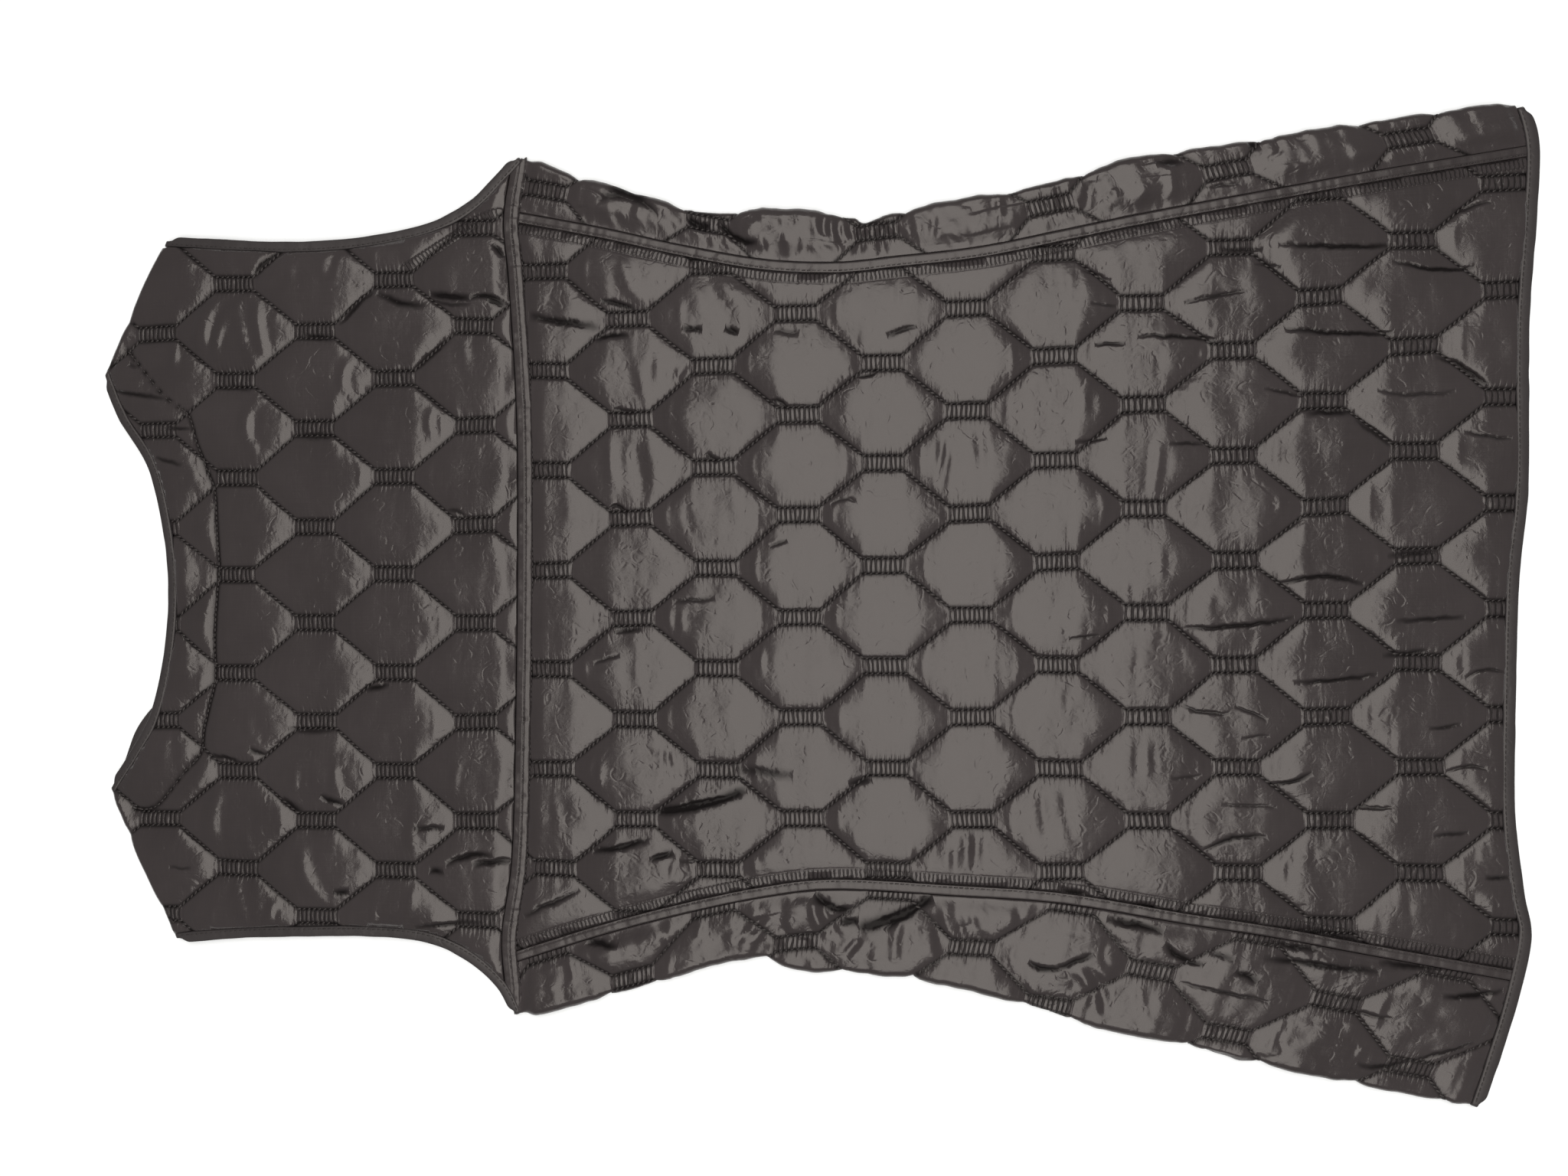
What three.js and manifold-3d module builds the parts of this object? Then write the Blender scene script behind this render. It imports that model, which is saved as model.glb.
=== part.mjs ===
// A quilted vest laid flat on its front, with its back up.
// +X runs from neck to hem, +Y towards the wearer's right side, and +Z up out of the back. Millimetres.
// The fronts lie underneath, flat on z = 0. The back lies on them, and each side panel wraps round
// its fold from the one layer to the other.
import * as THREE from "three";
import { mergeVertices } from "three/addons/utils/BufferGeometryUtils.js";
import Module from "manifold-3d";

const wasm = await Module();
wasm.setup();

// ---------------------------------------------------------------- driving dimensions

const FRONT_WALL = 2.5;
const LAYER_GAP = 0.4;
const BACK_INSIDE = FRONT_WALL + LAYER_GAP;
const STITCHED_WALL = 1.3; // the back's wall where the quilting is sewn down
const PUFF = 3.2; // how far a cell's crown stands above that
const BAR_RISE = 0.9;
const FLAT_MARGIN = 15; // the quilting flattens within this distance of a seam or an edge
const FLAT_EDGE = 3.5; // and is flat within this one
const SEAM_GAP = 0.3;
const FRONT_OPENING = 1;
const CENTRE_FRONT_Y = 12;

// The quilting: elongated cells, whose tips meet short bars. Rows run along the vest.
const COLUMN = 46.4; // from one column of bars to the next
const ROW = 55.4; // from one bar to the next in a column
const BAR_LENGTH = 22.5;
const BAR_WIDTH = 8;
const UNEVEN = 0.16; // how much the crowns differ in height

// Each panel's quilting is placed by the middle of one bar and the angle of its rows.
const YOKE_QUILT = { x: -266.9, y: 44.6, degrees: 0.3 };
const CENTRE_QUILT = { x: 7.5, y: 48.9, degrees: 0.8 };

const BINDING_THICKNESS = 2;
const NECK_BINDING_WIDTH = 5.3;
const ARMHOLE_BINDING_WIDTH = 6;
const HEM_BINDING_WIDTH = 6.6;
const YOKE_SEAM_WIDTH = 8.4;
const SIDE_SEAM_WIDTH = 5.6;
const SEAM_HEIGHT = 2.3; // of a felled seam, from its inside to its crown
const SHOULDER_ROLL = 4.5; // how far the yoke's rounded edge reaches in from the shoulder

const NYLON = { color: 0x3b3534, roughness: 0.38, metalness: 0 };
const TRIM = { color: 0x2d2928, roughness: 0.5, metalness: 0 };

// ---------------------------------------------------------------- outline tables

const NECK_EDGE = [
  { x: -394.4, y: 130 },
  { x: -384, y: 106 },
  { x: -367, y: 79 },
  { x: -358, y: 44 },
  { x: -354.5, y: 9 },
  { x: -357, y: -27 },
  { x: -365, y: -62 },
  { x: -377, y: -84 },
  { x: -390.5, y: -104 },
];
const ARMHOLE_RIGHT = [
  { x: -355, y: 211 },
  { x: -310, y: 207.5 },
  { x: -274, y: 206 },
  { x: -238, y: 208 },
  { x: -202, y: 214.5 },
  { x: -178, y: 226 },
  { x: -161, y: 242 },
  { x: -151, y: 252.5 },
];
const ARMHOLE_LEFT = [
  { x: -349, y: -194 },
  { x: -310, y: -190 },
  { x: -274, y: -188.5 },
  { x: -238, y: -187.5 },
  { x: -205, y: -189.5 },
  { x: -181, y: -198.5 },
  { x: -162, y: -214 },
  { x: -153, y: -231 },
];
const SIDE_RIGHT = [
  { x: -151, y: 252.5 },
  { x: -114, y: 237 },
  { x: -79, y: 225 },
  { x: -45, y: 217.5 },
  { x: -5, y: 215.5 },
  { x: 34, y: 212.5 },
  { x: 43, y: 209 },
  { x: 56, y: 212.5 },
  { x: 90, y: 218.5 },
  { x: 139, y: 226.5 },
  { x: 188, y: 239 },
  { x: 236, y: 245 },
  { x: 283, y: 251.5 },
  { x: 330, y: 257.5 },
  { x: 384, y: 263 },
];
const SIDE_LEFT = [
  { x: -153, y: -231 },
  { x: -114, y: -220.5 },
  { x: -79, y: -212 },
  { x: -45, y: -198.5 },
  { x: -17, y: -193 },
  { x: 6, y: -199 },
  { x: 40, y: -200.5 },
  { x: 73, y: -202.5 },
  { x: 106, y: -208.5 },
  { x: 155, y: -223 },
  { x: 204, y: -232 },
  { x: 252, y: -242.5 },
  { x: 299, y: -251 },
  { x: 368, y: -264 },
];
const HEM = [
  { x: 389, y: 263 },
  { x: 394.4, y: 240 },
  { x: 393, y: 200 },
  { x: 389.5, y: 145 },
  { x: 389, y: 62 },
  { x: 384.5, y: 15 },
  { x: 382.5, y: -60 },
  { x: 382.5, y: -110 },
  { x: 387, y: -150 },
  { x: 390.5, y: -172 },
  { x: 384, y: -205 },
  { x: 375, y: -236 },
  { x: 366, y: -264 },
];
const YOKE_SEAM = [
  { x: -150, y: 256 },
  { x: -149, y: 246 },
  { x: -153.5, y: 215 },
  { x: -150.5, y: 180 },
  { x: -146, y: 105 },
  { x: -145.5, y: 17 },
  { x: -147, y: -90 },
  { x: -149, y: -145 },
  { x: -154.5, y: -185 },
  { x: -152.5, y: -215 },
  { x: -153, y: -236 },
];
const SIDE_BACK_RIGHT = [
  { x: -158, y: 218 },
  { x: -104, y: 207 },
  { x: -58, y: 196 },
  { x: -12, y: 187 },
  { x: 28, y: 184.5 },
  { x: 61, y: 187 },
  { x: 105, y: 191 },
  { x: 150, y: 199 },
  { x: 193, y: 207 },
  { x: 266, y: 219 },
  { x: 320, y: 227.5 },
  { x: 398, y: 238.5 },
];
const SIDE_BACK_LEFT = [
  { x: -158, y: -199 },
  { x: -104, y: -181 },
  { x: -58, y: -168 },
  { x: -12, y: -157.5 },
  { x: 28, y: -152.5 },
  { x: 91, y: -154.5 },
  { x: 150, y: -157.5 },
  { x: 215, y: -167 },
  { x: 260, y: -173 },
  { x: 314, y: -182 },
  { x: 398, y: -195.5 },
];
// Where the side panels end on the underside, counted in from the side folds at the same x.
const SIDE_FRONT = [
  { x: -158, right: 35, left: 35 },
  { x: 40, right: 48, left: 34 },
  { x: 398, right: 90, left: 40 },
];
// The front necklines run from the shoulders to the centre front, underneath.
const FRONT_NECK_RIGHT = [
  { x: -372, y: 92 },
  { x: -330, y: 58 },
  { x: -305, y: 34 },
  { x: -297, y: CENTRE_FRONT_Y + FRONT_OPENING / 2 },
];
const FRONT_NECK_LEFT = [
  { x: -368, y: -66 },
  { x: -330, y: -32 },
  { x: -305, y: -8 },
  { x: -297, y: CENTRE_FRONT_Y - FRONT_OPENING / 2 },
];
// Creases across the side folds at the waist. A negative lift is a hollow.
const SIDE_CREASES = [
  { side: "right", x: -30, lift: 0.8, width: 9 },
  { side: "right", x: 18, lift: 1.1, width: 10 },
  { side: "right", x: 43, lift: -1.5, width: 7 },
  { side: "right", x: 66, lift: 1, width: 9 },
  { side: "left", x: -78, lift: 0.9, width: 9 },
  { side: "left", x: -40, lift: -1.1, width: 7 },
  { side: "left", x: -17, lift: 1.2, width: 9 },
  { side: "left", x: 12, lift: -1, width: 7 },
  { side: "left", x: 48, lift: 0.9, width: 10 },
];

// ---------------------------------------------------------------- plane curves

const UP = new THREE.Vector3(0, 0, 1);

function curveThrough(rows) {
  return new THREE.SplineCurve(rows.map((row) => new THREE.Vector2(row.x, row.y)));
}

function spaced(curve, step) {
  return curve.getSpacedPoints(Math.max(2, Math.round(curve.getLength() / step)));
}

// The unit tangent of a run of points at one of them.
function tangentAt(points, i) {
  const before = points[Math.max(0, i - 1)];
  const after = points[Math.min(points.length - 1, i + 1)];
  return after.clone().sub(before).normalize();
}

// The points moved to the left of their direction of travel, or to its right for a negative distance.
function offset(points, distance) {
  return points.map((point, i) => {
    const tangent = tangentAt(points, i);
    return new THREE.Vector2(point.x - tangent.y * distance, point.y + tangent.x * distance);
  });
}

// The points with both ends carried straight on.
function lengthened(points, distance) {
  const last = points.length - 1;
  const first = points[0].clone().addScaledVector(tangentAt(points, 0), -distance);
  const end = points[last].clone().addScaledVector(tangentAt(points, last), distance);
  return [first, ...points, end];
}

function distanceTo(points, x, y) {
  const p = new THREE.Vector3(x, y, 0);
  const nearest = new THREE.Vector3();
  const line = new THREE.Line3();
  let least = Infinity;
  for (let i = 1; i < points.length; i++) {
    line.start.set(points[i - 1].x, points[i - 1].y, 0);
    line.end.set(points[i].x, points[i].y, 0);
    line.closestPointToPoint(p, true, nearest);
    least = Math.min(least, nearest.distanceTo(p));
  }
  return least;
}

// A value read from a table at x, straight between its rows.
function tabled(rows, column, x) {
  const next = rows.findIndex((row) => row.x >= x);
  if (next === 0) return rows[0][column];
  if (next < 0) return rows[rows.length - 1][column];
  const share = (x - rows[next - 1].x) / (rows[next].x - rows[next - 1].x);
  return THREE.MathUtils.lerp(rows[next - 1][column], rows[next][column], share);
}

// ---------------------------------------------------------------- solids

function solidFrom(geometry) {
  geometry.deleteAttribute("normal");
  geometry.deleteAttribute("uv");
  const merged = mergeVertices(geometry, 1e-4);
  return new wasm.Manifold(
    new wasm.Mesh({
      numProp: 3,
      vertProperties: new Float32Array(merged.attributes.position.array),
      triVerts: new Uint32Array(merged.index.array),
    }),
  );
}

function meshOf(solid, name, finish) {
  const made = solid.getMesh();
  const geometry = new THREE.BufferGeometry();
  geometry.setAttribute("position", new THREE.BufferAttribute(made.vertProperties, 3));
  geometry.setIndex(new THREE.BufferAttribute(made.triVerts, 1));
  geometry.computeVertexNormals();
  const mesh = new THREE.Mesh(geometry, new THREE.MeshStandardMaterial(finish));
  mesh.name = name;
  return mesh;
}

function without(solid, ...cutters) {
  return cutters.reduce((left, cutter) => left.subtract(cutter), solid);
}

function prism(outline, bottom, top) {
  const points = THREE.ShapeUtils.area(outline) < 0 ? [...outline].reverse() : outline;
  const shape = new THREE.Shape(points);
  const geometry = new THREE.ExtrudeGeometry(shape, { depth: top - bottom, bevelEnabled: false });
  return solidFrom(geometry.translate(0, 0, bottom));
}

const CARRY_ON = 14; // how far a line goes straight on past its ends, where it has to reach past them

// A block along a run of points, between two distances to the left of it.
function strip(points, right, left, bottom, top) {
  const long = lengthened(points, CARRY_ON);
  return prism([...offset(long, right), ...offset(long, left).reverse()], bottom, top);
}

// A closed section carried through stations, each with its place and its across and up directions,
// where across, up and the direction of travel are right-handed. A station may have its own section.
function sweep(stations, section, closed = false) {
  const rings = stations.map((station) => {
    const drawn = (station.section ?? section).map(([a, b]) => new THREE.Vector2(a, b));
    return THREE.ShapeUtils.area(drawn) < 0 ? drawn.reverse() : drawn;
  });
  const positions = [];
  const faces = [];
  const count = rings[0].length;
  stations.forEach(({ at, across, up }, i) => {
    for (const { x: a, y: b } of rings[i]) {
      positions.push(at.x + across.x * a + up.x * b);
      positions.push(at.y + across.y * a + up.y * b);
      positions.push(at.z + across.z * a + up.z * b);
    }
  });
  const steps = closed ? stations.length : stations.length - 1;
  for (let i = 0; i < steps; i++) {
    const here = i * count;
    const next = ((i + 1) % stations.length) * count;
    for (let k = 0; k < count; k++) {
      const after = (k + 1) % count;
      faces.push(here + k, here + after, next + after);
      faces.push(here + k, next + after, next + k);
    }
  }
  if (!closed) {
    const far = (stations.length - 1) * count;
    for (const [a, b, c] of THREE.ShapeUtils.triangulateShape(rings[0], [])) faces.push(c, b, a);
    for (const [a, b, c] of THREE.ShapeUtils.triangulateShape(rings[stations.length - 1], [])) {
      faces.push(far + a, far + b, far + c);
    }
  }
  const geometry = new THREE.BufferGeometry();
  geometry.setAttribute("position", new THREE.Float32BufferAttribute(positions, 3));
  geometry.setIndex(faces);
  return solidFrom(geometry);
}

// ---------------------------------------------------------------- quilting

// A number from 0 to 1 for a cell, always the same one.
function cellChance(i, j) {
  const wave = Math.sin(i * 127.1 + j * 311.7) * 43758.5453;
  return wave - Math.floor(wave);
}

const CELL_HALF = { middle: BAR_LENGTH / 2, tip: COLUMN - BAR_LENGTH / 2 };
const CELL_RISE = { middle: (ROW - BAR_WIDTH) / 2, tip: BAR_WIDTH / 2 };

// The cell's eight corners, from its middle.
function cellCorners() {
  const quarter = [
    [CELL_HALF.tip, CELL_RISE.tip],
    [CELL_HALF.middle, CELL_RISE.middle],
  ];
  const upper = [...quarter, ...[...quarter].reverse().map(([x, y]) => [-x, y])];
  return [...upper, ...[...upper].reverse().map(([x, y]) => [x, -y])];
}

// How round a cell stands at a share of the way out from its middle.
function crown(share) {
  return Math.sqrt(Math.max(0, 1 - Math.pow(share, 2.2)));
}

// The crown's height over the stitches, from 0 to 1, at a place in a panel's own quilting plane.
function quiltHeight(x, y) {
  const i = Math.round(x / COLUMN);
  let height = 0;
  for (const column of [i - 1, i, i + 1]) {
    const odd = Math.abs(column % 2) === 1;
    const middle = odd ? 0 : ROW / 2;
    const j = Math.round((y - middle) / ROW);
    const across = Math.abs(x - column * COLUMN);
    const up = Math.abs(y - middle - j * ROW);
    const run = CELL_HALF.tip - CELL_HALF.middle;
    const rise = CELL_RISE.middle - CELL_RISE.tip;
    const slant = (rise * across + run * up) / (rise * CELL_HALF.tip + run * CELL_RISE.tip);
    const share = Math.max(slant, up / CELL_RISE.middle, across / CELL_HALF.tip);
    if (share < 1) height = crown(share) * (1 - UNEVEN * cellChance(column, 2 * j));
  }
  return height;
}

// A slab with the quilting raised in its upper points and a plain underside.
// Its cells cover the box, and come down to the stitches at their edges. fullness(x, y) scales them.
function quiltedSlab(quilt, box, fullness) {
  const turn = THREE.MathUtils.degToRad(quilt.degrees);
  const place = (x, y) => ({
    x: quilt.x + x * Math.cos(turn) - y * Math.sin(turn),
    y: quilt.y + x * Math.sin(turn) + y * Math.cos(turn),
  });
  const positions = [];
  const corner = (x, y, rise) => {
    const p = place(x, y);
    positions.push(p.x, p.y, BACK_INSIDE + STITCHED_WALL + rise * fullness(p.x, p.y));
  };
  const triangle = (a, b, c) => [a, b, c].forEach((p) => corner(...p));
  const rings = [1, 0.8, 0.47];
  const corners = cellCorners();
  const addCell = (x, y, height) => {
    const at = (ring, k) => {
      const [dx, dy] = corners[k % corners.length];
      return [x + dx * rings[ring], y + dy * rings[ring], height * crown(rings[ring])];
    };
    for (let k = 0; k < corners.length; k++) {
      for (let ring = 0; ring < rings.length - 1; ring++) {
        triangle(at(ring, k), at(ring, k + 1), at(ring + 1, k + 1));
        triangle(at(ring, k), at(ring + 1, k + 1), at(ring + 1, k));
      }
      triangle(at(rings.length - 1, k), at(rings.length - 1, k + 1), [x, y, height]);
    }
  };
  const addBar = (x, y) => {
    const ends = [
      [x - BAR_LENGTH / 2, y - BAR_WIDTH / 2, 0],
      [x + BAR_LENGTH / 2, y - BAR_WIDTH / 2, 0],
      [x + BAR_LENGTH / 2, y + BAR_WIDTH / 2, 0],
      [x - BAR_LENGTH / 2, y + BAR_WIDTH / 2, 0],
    ];
    ends.forEach((end, k) => triangle(end, ends[(k + 1) % ends.length], [x, y, BAR_RISE]));
  };
  const columns = [box.min.x - quilt.x, box.max.x - quilt.x].map((x) => Math.round(x / COLUMN));
  const rows = [box.min.y - quilt.y, box.max.y - quilt.y].map((y) => Math.round((2 * y) / ROW));
  for (let i = columns[0] - 1; i <= columns[1] + 1; i++) {
    for (let j = rows[0] - 2; j <= rows[1] + 2; j++) {
      const x = i * COLUMN;
      const y = (j * ROW) / 2;
      if ((i + j) % 2 === 0) addBar(x, y);
      else addCell(x, y, PUFF * (1 - UNEVEN * cellChance(i, j)));
    }
  }
  return closedDown(positions);
}

// Closes a surface of loose triangles with walls down past the plane of the back's inside, where a
// panel's outline cuts it off.
const BELOW_INSIDE = BACK_INSIDE - 1;
function closedDown(positions) {
  const geometry = new THREE.BufferGeometry();
  geometry.setAttribute("position", new THREE.Float32BufferAttribute(positions, 3));
  const merged = mergeVertices(geometry, 1e-3);
  const top = merged.index.array;
  const place = merged.attributes.position;
  const count = place.count;
  const all = [...place.array];
  for (let i = 0; i < count; i++) all.push(place.getX(i), place.getY(i), BELOW_INSIDE);
  const faces = [...top];
  const edges = new Map();
  for (let i = 0; i < top.length; i += 3) {
    faces.push(top[i] + count, top[i + 2] + count, top[i + 1] + count);
    for (let k = 0; k < 3; k++) {
      const from = top[i + k];
      const to = top[i + ((k + 1) % 3)];
      if (!edges.delete(`${to} ${from}`)) edges.set(`${from} ${to}`, [from, to]);
    }
  }
  for (const [from, to] of edges.values()) {
    faces.push(from, to + count, to);
    faces.push(from, from + count, to + count);
  }
  const closed = new THREE.BufferGeometry();
  closed.setAttribute("position", new THREE.Float32BufferAttribute(all, 3));
  closed.setIndex(faces);
  return solidFrom(closed);
}

// ---------------------------------------------------------------- the vest's lines

const CURVE_STEP = 19;
const SIDE_STATION = 10.5;
const neckLine = spaced(curveThrough(NECK_EDGE), CURVE_STEP); // right to left
const hemLine = spaced(curveThrough(HEM), CURVE_STEP); // right to left
const yokeSeamLine = spaced(curveThrough(YOKE_SEAM), CURVE_STEP); // right to left
const sides = {
  right: {
    name: "right",
    way: 1,
    armhole: spaced(curveThrough(ARMHOLE_RIGHT), CURVE_STEP),
    fold: curveThrough(SIDE_RIGHT),
    seam: curveThrough(SIDE_BACK_RIGHT),
    quilt: { along: 393, across: 17.5 },
    frontNeck: FRONT_NECK_RIGHT,
    neckPoint: NECK_EDGE[0],
  },
  left: {
    name: "left",
    way: -1,
    armhole: spaced(curveThrough(ARMHOLE_LEFT), CURVE_STEP),
    fold: curveThrough(SIDE_LEFT),
    seam: curveThrough(SIDE_BACK_LEFT),
    quilt: { along: 396, across: 3 },
    frontNeck: FRONT_NECK_LEFT,
    neckPoint: NECK_EDGE[NECK_EDGE.length - 1],
  },
};

// Where each section of a side panel stands: its back seam, its fold, and the way out between them.
function sideStations(side) {
  const count = Math.round(side.fold.getLength() / SIDE_STATION);
  const stations = [];
  for (let i = 0; i <= count; i++) {
    const fold = side.fold.getPointAt(i / count);
    const seam = side.seam.getPointAt(i / count);
    const outwards = fold.clone().sub(seam).normalize();
    stations.push({ fold, seam, outwards, along: (side.fold.getLength() * i) / count });
  }
  return stations;
}

for (const side of Object.values(sides)) {
  side.foldLine = spaced(side.fold, CURVE_STEP);
  side.seamLine = spaced(side.seam, CURVE_STEP);
  side.stations = sideStations(side);
  side.underLine = side.stations.map(({ fold, outwards }) =>
    fold.clone().addScaledVector(outwards, -tabled(SIDE_FRONT, side.name, fold.x)),
  );
  side.shoulder = [
    new THREE.Vector2(side.neckPoint.x, side.neckPoint.y),
    side.armhole[0].clone(),
  ];
}

const LOW = -1;
const BETWEEN = FRONT_WALL + LAYER_GAP / 2;
const HIGH = 20;
const OUT = 40; // how far a cutter reaches past the edge that it trims
const PAST_SIDE = 110; // and past a side panel's seam on the underside
const PAST_YOKE = -240; // x and y beyond what the cutters at the yoke seam have to reach
const PAST_WIDTH = 290;
const PAST_NECK = -460; // x beyond the neck
const PAST_HEM = 398; // x beyond the hem

// ---------------------------------------------------------------- cutters

// Room for a binding along an edge, through both layers.
function bindingRoom(line, inwards, width) {
  const reach = [inwards * (width + SEAM_GAP), -inwards * OUT].sort((a, b) => a - b);
  return strip(line, ...reach, LOW, HIGH);
}

// Room for a felled seam, in the upper layer.
function seamRoom(line, width) {
  const half = width / 2 + SEAM_GAP;
  return strip(line, -half, half, BETWEEN, HIGH);
}

const hemCutter = bindingRoom(hemLine, -1, HEM_BINDING_WIDTH);
const neckCutter = bindingRoom(neckLine, 1, NECK_BINDING_WIDTH);
const yokeSeamCutter = seamRoom(yokeSeamLine, YOKE_SEAM_WIDTH);

// Everything on the neck side of the yoke seam, through both layers, kept a little clear of it.
function neckwardOfYokeSeam(clearance) {
  const far = [new THREE.Vector2(PAST_YOKE, -PAST_WIDTH), new THREE.Vector2(PAST_YOKE, PAST_WIDTH)];
  return prism([...offset(yokeSeamLine, -clearance), ...far], LOW, HIGH);
}

const yokeSideCutter = neckwardOfYokeSeam(0);
for (const side of Object.values(sides)) {
  side.armholeCutter = bindingRoom(side.armhole, -side.way, ARMHOLE_BINDING_WIDTH);
  side.seamCutter = seamRoom(side.seamLine, SIDE_SEAM_WIDTH);
  const reach = [-side.way * SEAM_GAP, side.way * PAST_SIDE].sort((a, b) => a - b);
  const sideUnder = strip(side.underLine, ...reach, LOW, HIGH);
  side.underCutter = sideUnder.subtract(neckwardOfYokeSeam(SEAM_GAP));
}

// ---------------------------------------------------------------- back panels

// Every edge and seam that presses the back's quilting flat.
const pressedLines = [
  neckLine,
  hemLine,
  yokeSeamLine,
  ...Object.values(sides).flatMap((side) => [side.armhole, side.seamLine, side.shoulder]),
];

function backFullness(x, y) {
  const nearest = Math.min(...pressedLines.map((line) => distanceTo(line, x, y)));
  return THREE.MathUtils.smoothstep(nearest, FLAT_EDGE, FLAT_MARGIN);
}

// The yoke's edge rolls over the shoulder down to the fronts' level.
function shoulderRoll(side) {
  const height = BACK_INSIDE + STITCHED_WALL + 0.7;
  const inwards = -side.way;
  const section = [
    [inwards * SHOULDER_ROLL, 0],
    [inwards * 1.6, 0],
    [inwards * 0.4, height * 0.22],
    [0, height * 0.5],
    [inwards * 0.5, height * 0.78],
    [inwards * 1.8, height * 0.96],
    [inwards * SHOULDER_ROLL, height],
  ];
  return sweep(level(lengthened(side.shoulder, CARRY_ON), 0), section);
}

const ROLL_OUTSIDE = 1.6; // how far the yoke's slab stops inside its rolled shoulders

// A panel of the back: its quilting, cut to an outline.
function quiltedPanel(quilt, outline) {
  return quiltedSlab(quilt, new THREE.Box2().setFromPoints(outline), backFullness).intersect(
    prism(outline, BACK_INSIDE, HIGH),
  );
}

function backYoke() {
  const { right, left } = sides;
  const outline = [
    ...neckLine.slice(1, -1),
    ...offset(left.shoulder, ROLL_OUTSIDE),
    ...left.armhole.slice(1),
    ...[...yokeSeamLine].reverse().slice(1, -1),
    ...[...right.armhole].reverse().slice(0, -1),
    ...offset(right.shoulder, -ROLL_OUTSIDE).reverse(),
  ];
  const rolled = quiltedPanel(YOKE_QUILT, outline).add(shoulderRoll(right)).add(shoulderRoll(left));
  return without(rolled, neckCutter, right.armholeCutter, left.armholeCutter, yokeSeamCutter);
}

function backCentre() {
  const { right, left } = sides;
  const slab = quiltedPanel(CENTRE_QUILT, [...right.seamLine, ...[...left.seamLine].reverse()]);
  const cutters = [yokeSideCutter, yokeSeamCutter, hemCutter];
  return without(slab, ...cutters, right.seamCutter, left.seamCutter);
}

// ---------------------------------------------------------------- side panels

const FOLD_REACH = 3.4; // the fold's half-round, across
const FOLD_INSIDE = 1.5; // from its start in to where the two layers part
const TOP_SHARES = [0, 0.1, 0.24, 0.4, 0.56, 0.72, 0.88, 1];
const FOLD_ANGLES = [55, 15, -25, -65];

function creaseLift(name, x) {
  return SIDE_CREASES.filter((crease) => crease.side === name).reduce(
    (sum, { x: at, lift, width }) => sum + lift * Math.exp(-(((x - at) / width) ** 2)),
    0,
  );
}

// One station's section: over the top from the seam to the fold, round it, flat along the underside,
// and back along the plain inside.
function sideSection(side, { seam, fold, along }) {
  const width = seam.distanceTo(fold);
  const flatWidth = width - FOLD_REACH;
  const creased = creaseLift(side.name, fold.x);
  const fromHem = distanceTo(hemLine, fold.x, fold.y);
  const ends = THREE.MathUtils.smoothstep(fromHem, FLAT_EDGE, FLAT_MARGIN);
  const stitched = BACK_INSIDE + STITCHED_WALL;
  const under = tabled(SIDE_FRONT, side.name, fold.x);
  const topAt = (share) => {
    const across = flatWidth * share;
    const pressed = THREE.MathUtils.smoothstep(across, SIDE_SEAM_WIDTH / 2, FLAT_MARGIN);
    const puff = quiltHeight(along - side.quilt.along, across - side.quilt.across);
    return stitched + pressed * ends * (PUFF * puff + creased * share);
  };
  const section = TOP_SHARES.map((share) => [flatWidth * share, topAt(share)]);
  const height = topAt(1);
  for (const degrees of FOLD_ANGLES) {
    const angle = THREE.MathUtils.degToRad(degrees);
    section.push([flatWidth + FOLD_REACH * Math.cos(angle), (height / 2) * (1 + Math.sin(angle))]);
  }
  section.push([flatWidth - 1, 0], [width - under, 0]);
  section.push([width - under, FRONT_WALL], [flatWidth - FOLD_INSIDE, FRONT_WALL]);
  section.push([flatWidth - FOLD_INSIDE, BACK_INSIDE], [0, BACK_INSIDE]);
  return section;
}

function sidePanel(side) {
  const stations = side.stations.map((station) => ({
    at: new THREE.Vector3(station.seam.x, station.seam.y, 0),
    across: new THREE.Vector3(station.outwards.x, station.outwards.y, 0),
    up: UP,
    section: sideSection(side, station),
  }));
  if (side.way < 0) stations.reverse();
  const cutters = [yokeSeamCutter, side.armholeCutter, side.seamCutter, hemCutter];
  return without(sweep(stations), ...cutters, yokeSideCutter);
}

// ---------------------------------------------------------------- seams and bindings

function level(points, z, swap = 1) {
  return points.map((point, i) => {
    const tangent = tangentAt(points, i);
    const across = new THREE.Vector3(-tangent.y * swap, tangent.x * swap, 0);
    return { at: new THREE.Vector3(point.x, point.y, z), across, up: UP };
  });
}

// A felled seam: a low band with a crowned top.
function felledSeam(line, width) {
  const half = width / 2;
  const section = [
    [-half, 0],
    [half, 0],
    [half, SEAM_HEIGHT * 0.7],
    [half * 0.5, SEAM_HEIGHT],
    [-half * 0.5, SEAM_HEIGHT],
    [-half, SEAM_HEIGHT * 0.7],
  ];
  return sweep(level(line, BACK_INSIDE), section);
}

function bindingSection(width) {
  const half = width / 2;
  const thick = BINDING_THICKNESS / 2;
  const quarter = [
    [half, thick * 0.4],
    [half * 0.7, thick],
  ];
  const upper = [...quarter, ...[...quarter].reverse().map(([a, b]) => [-a, b])];
  return [...upper, ...[...upper].reverse().map(([a, b]) => [a, -b])];
}

const TOP_RUN = BACK_INSIDE + BINDING_THICKNESS / 2;
const LOW_RUN = 0.35 + BINDING_THICKNESS / 2;
const TURN_ANGLES = [90, 50, 0, -50, -90];

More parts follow.
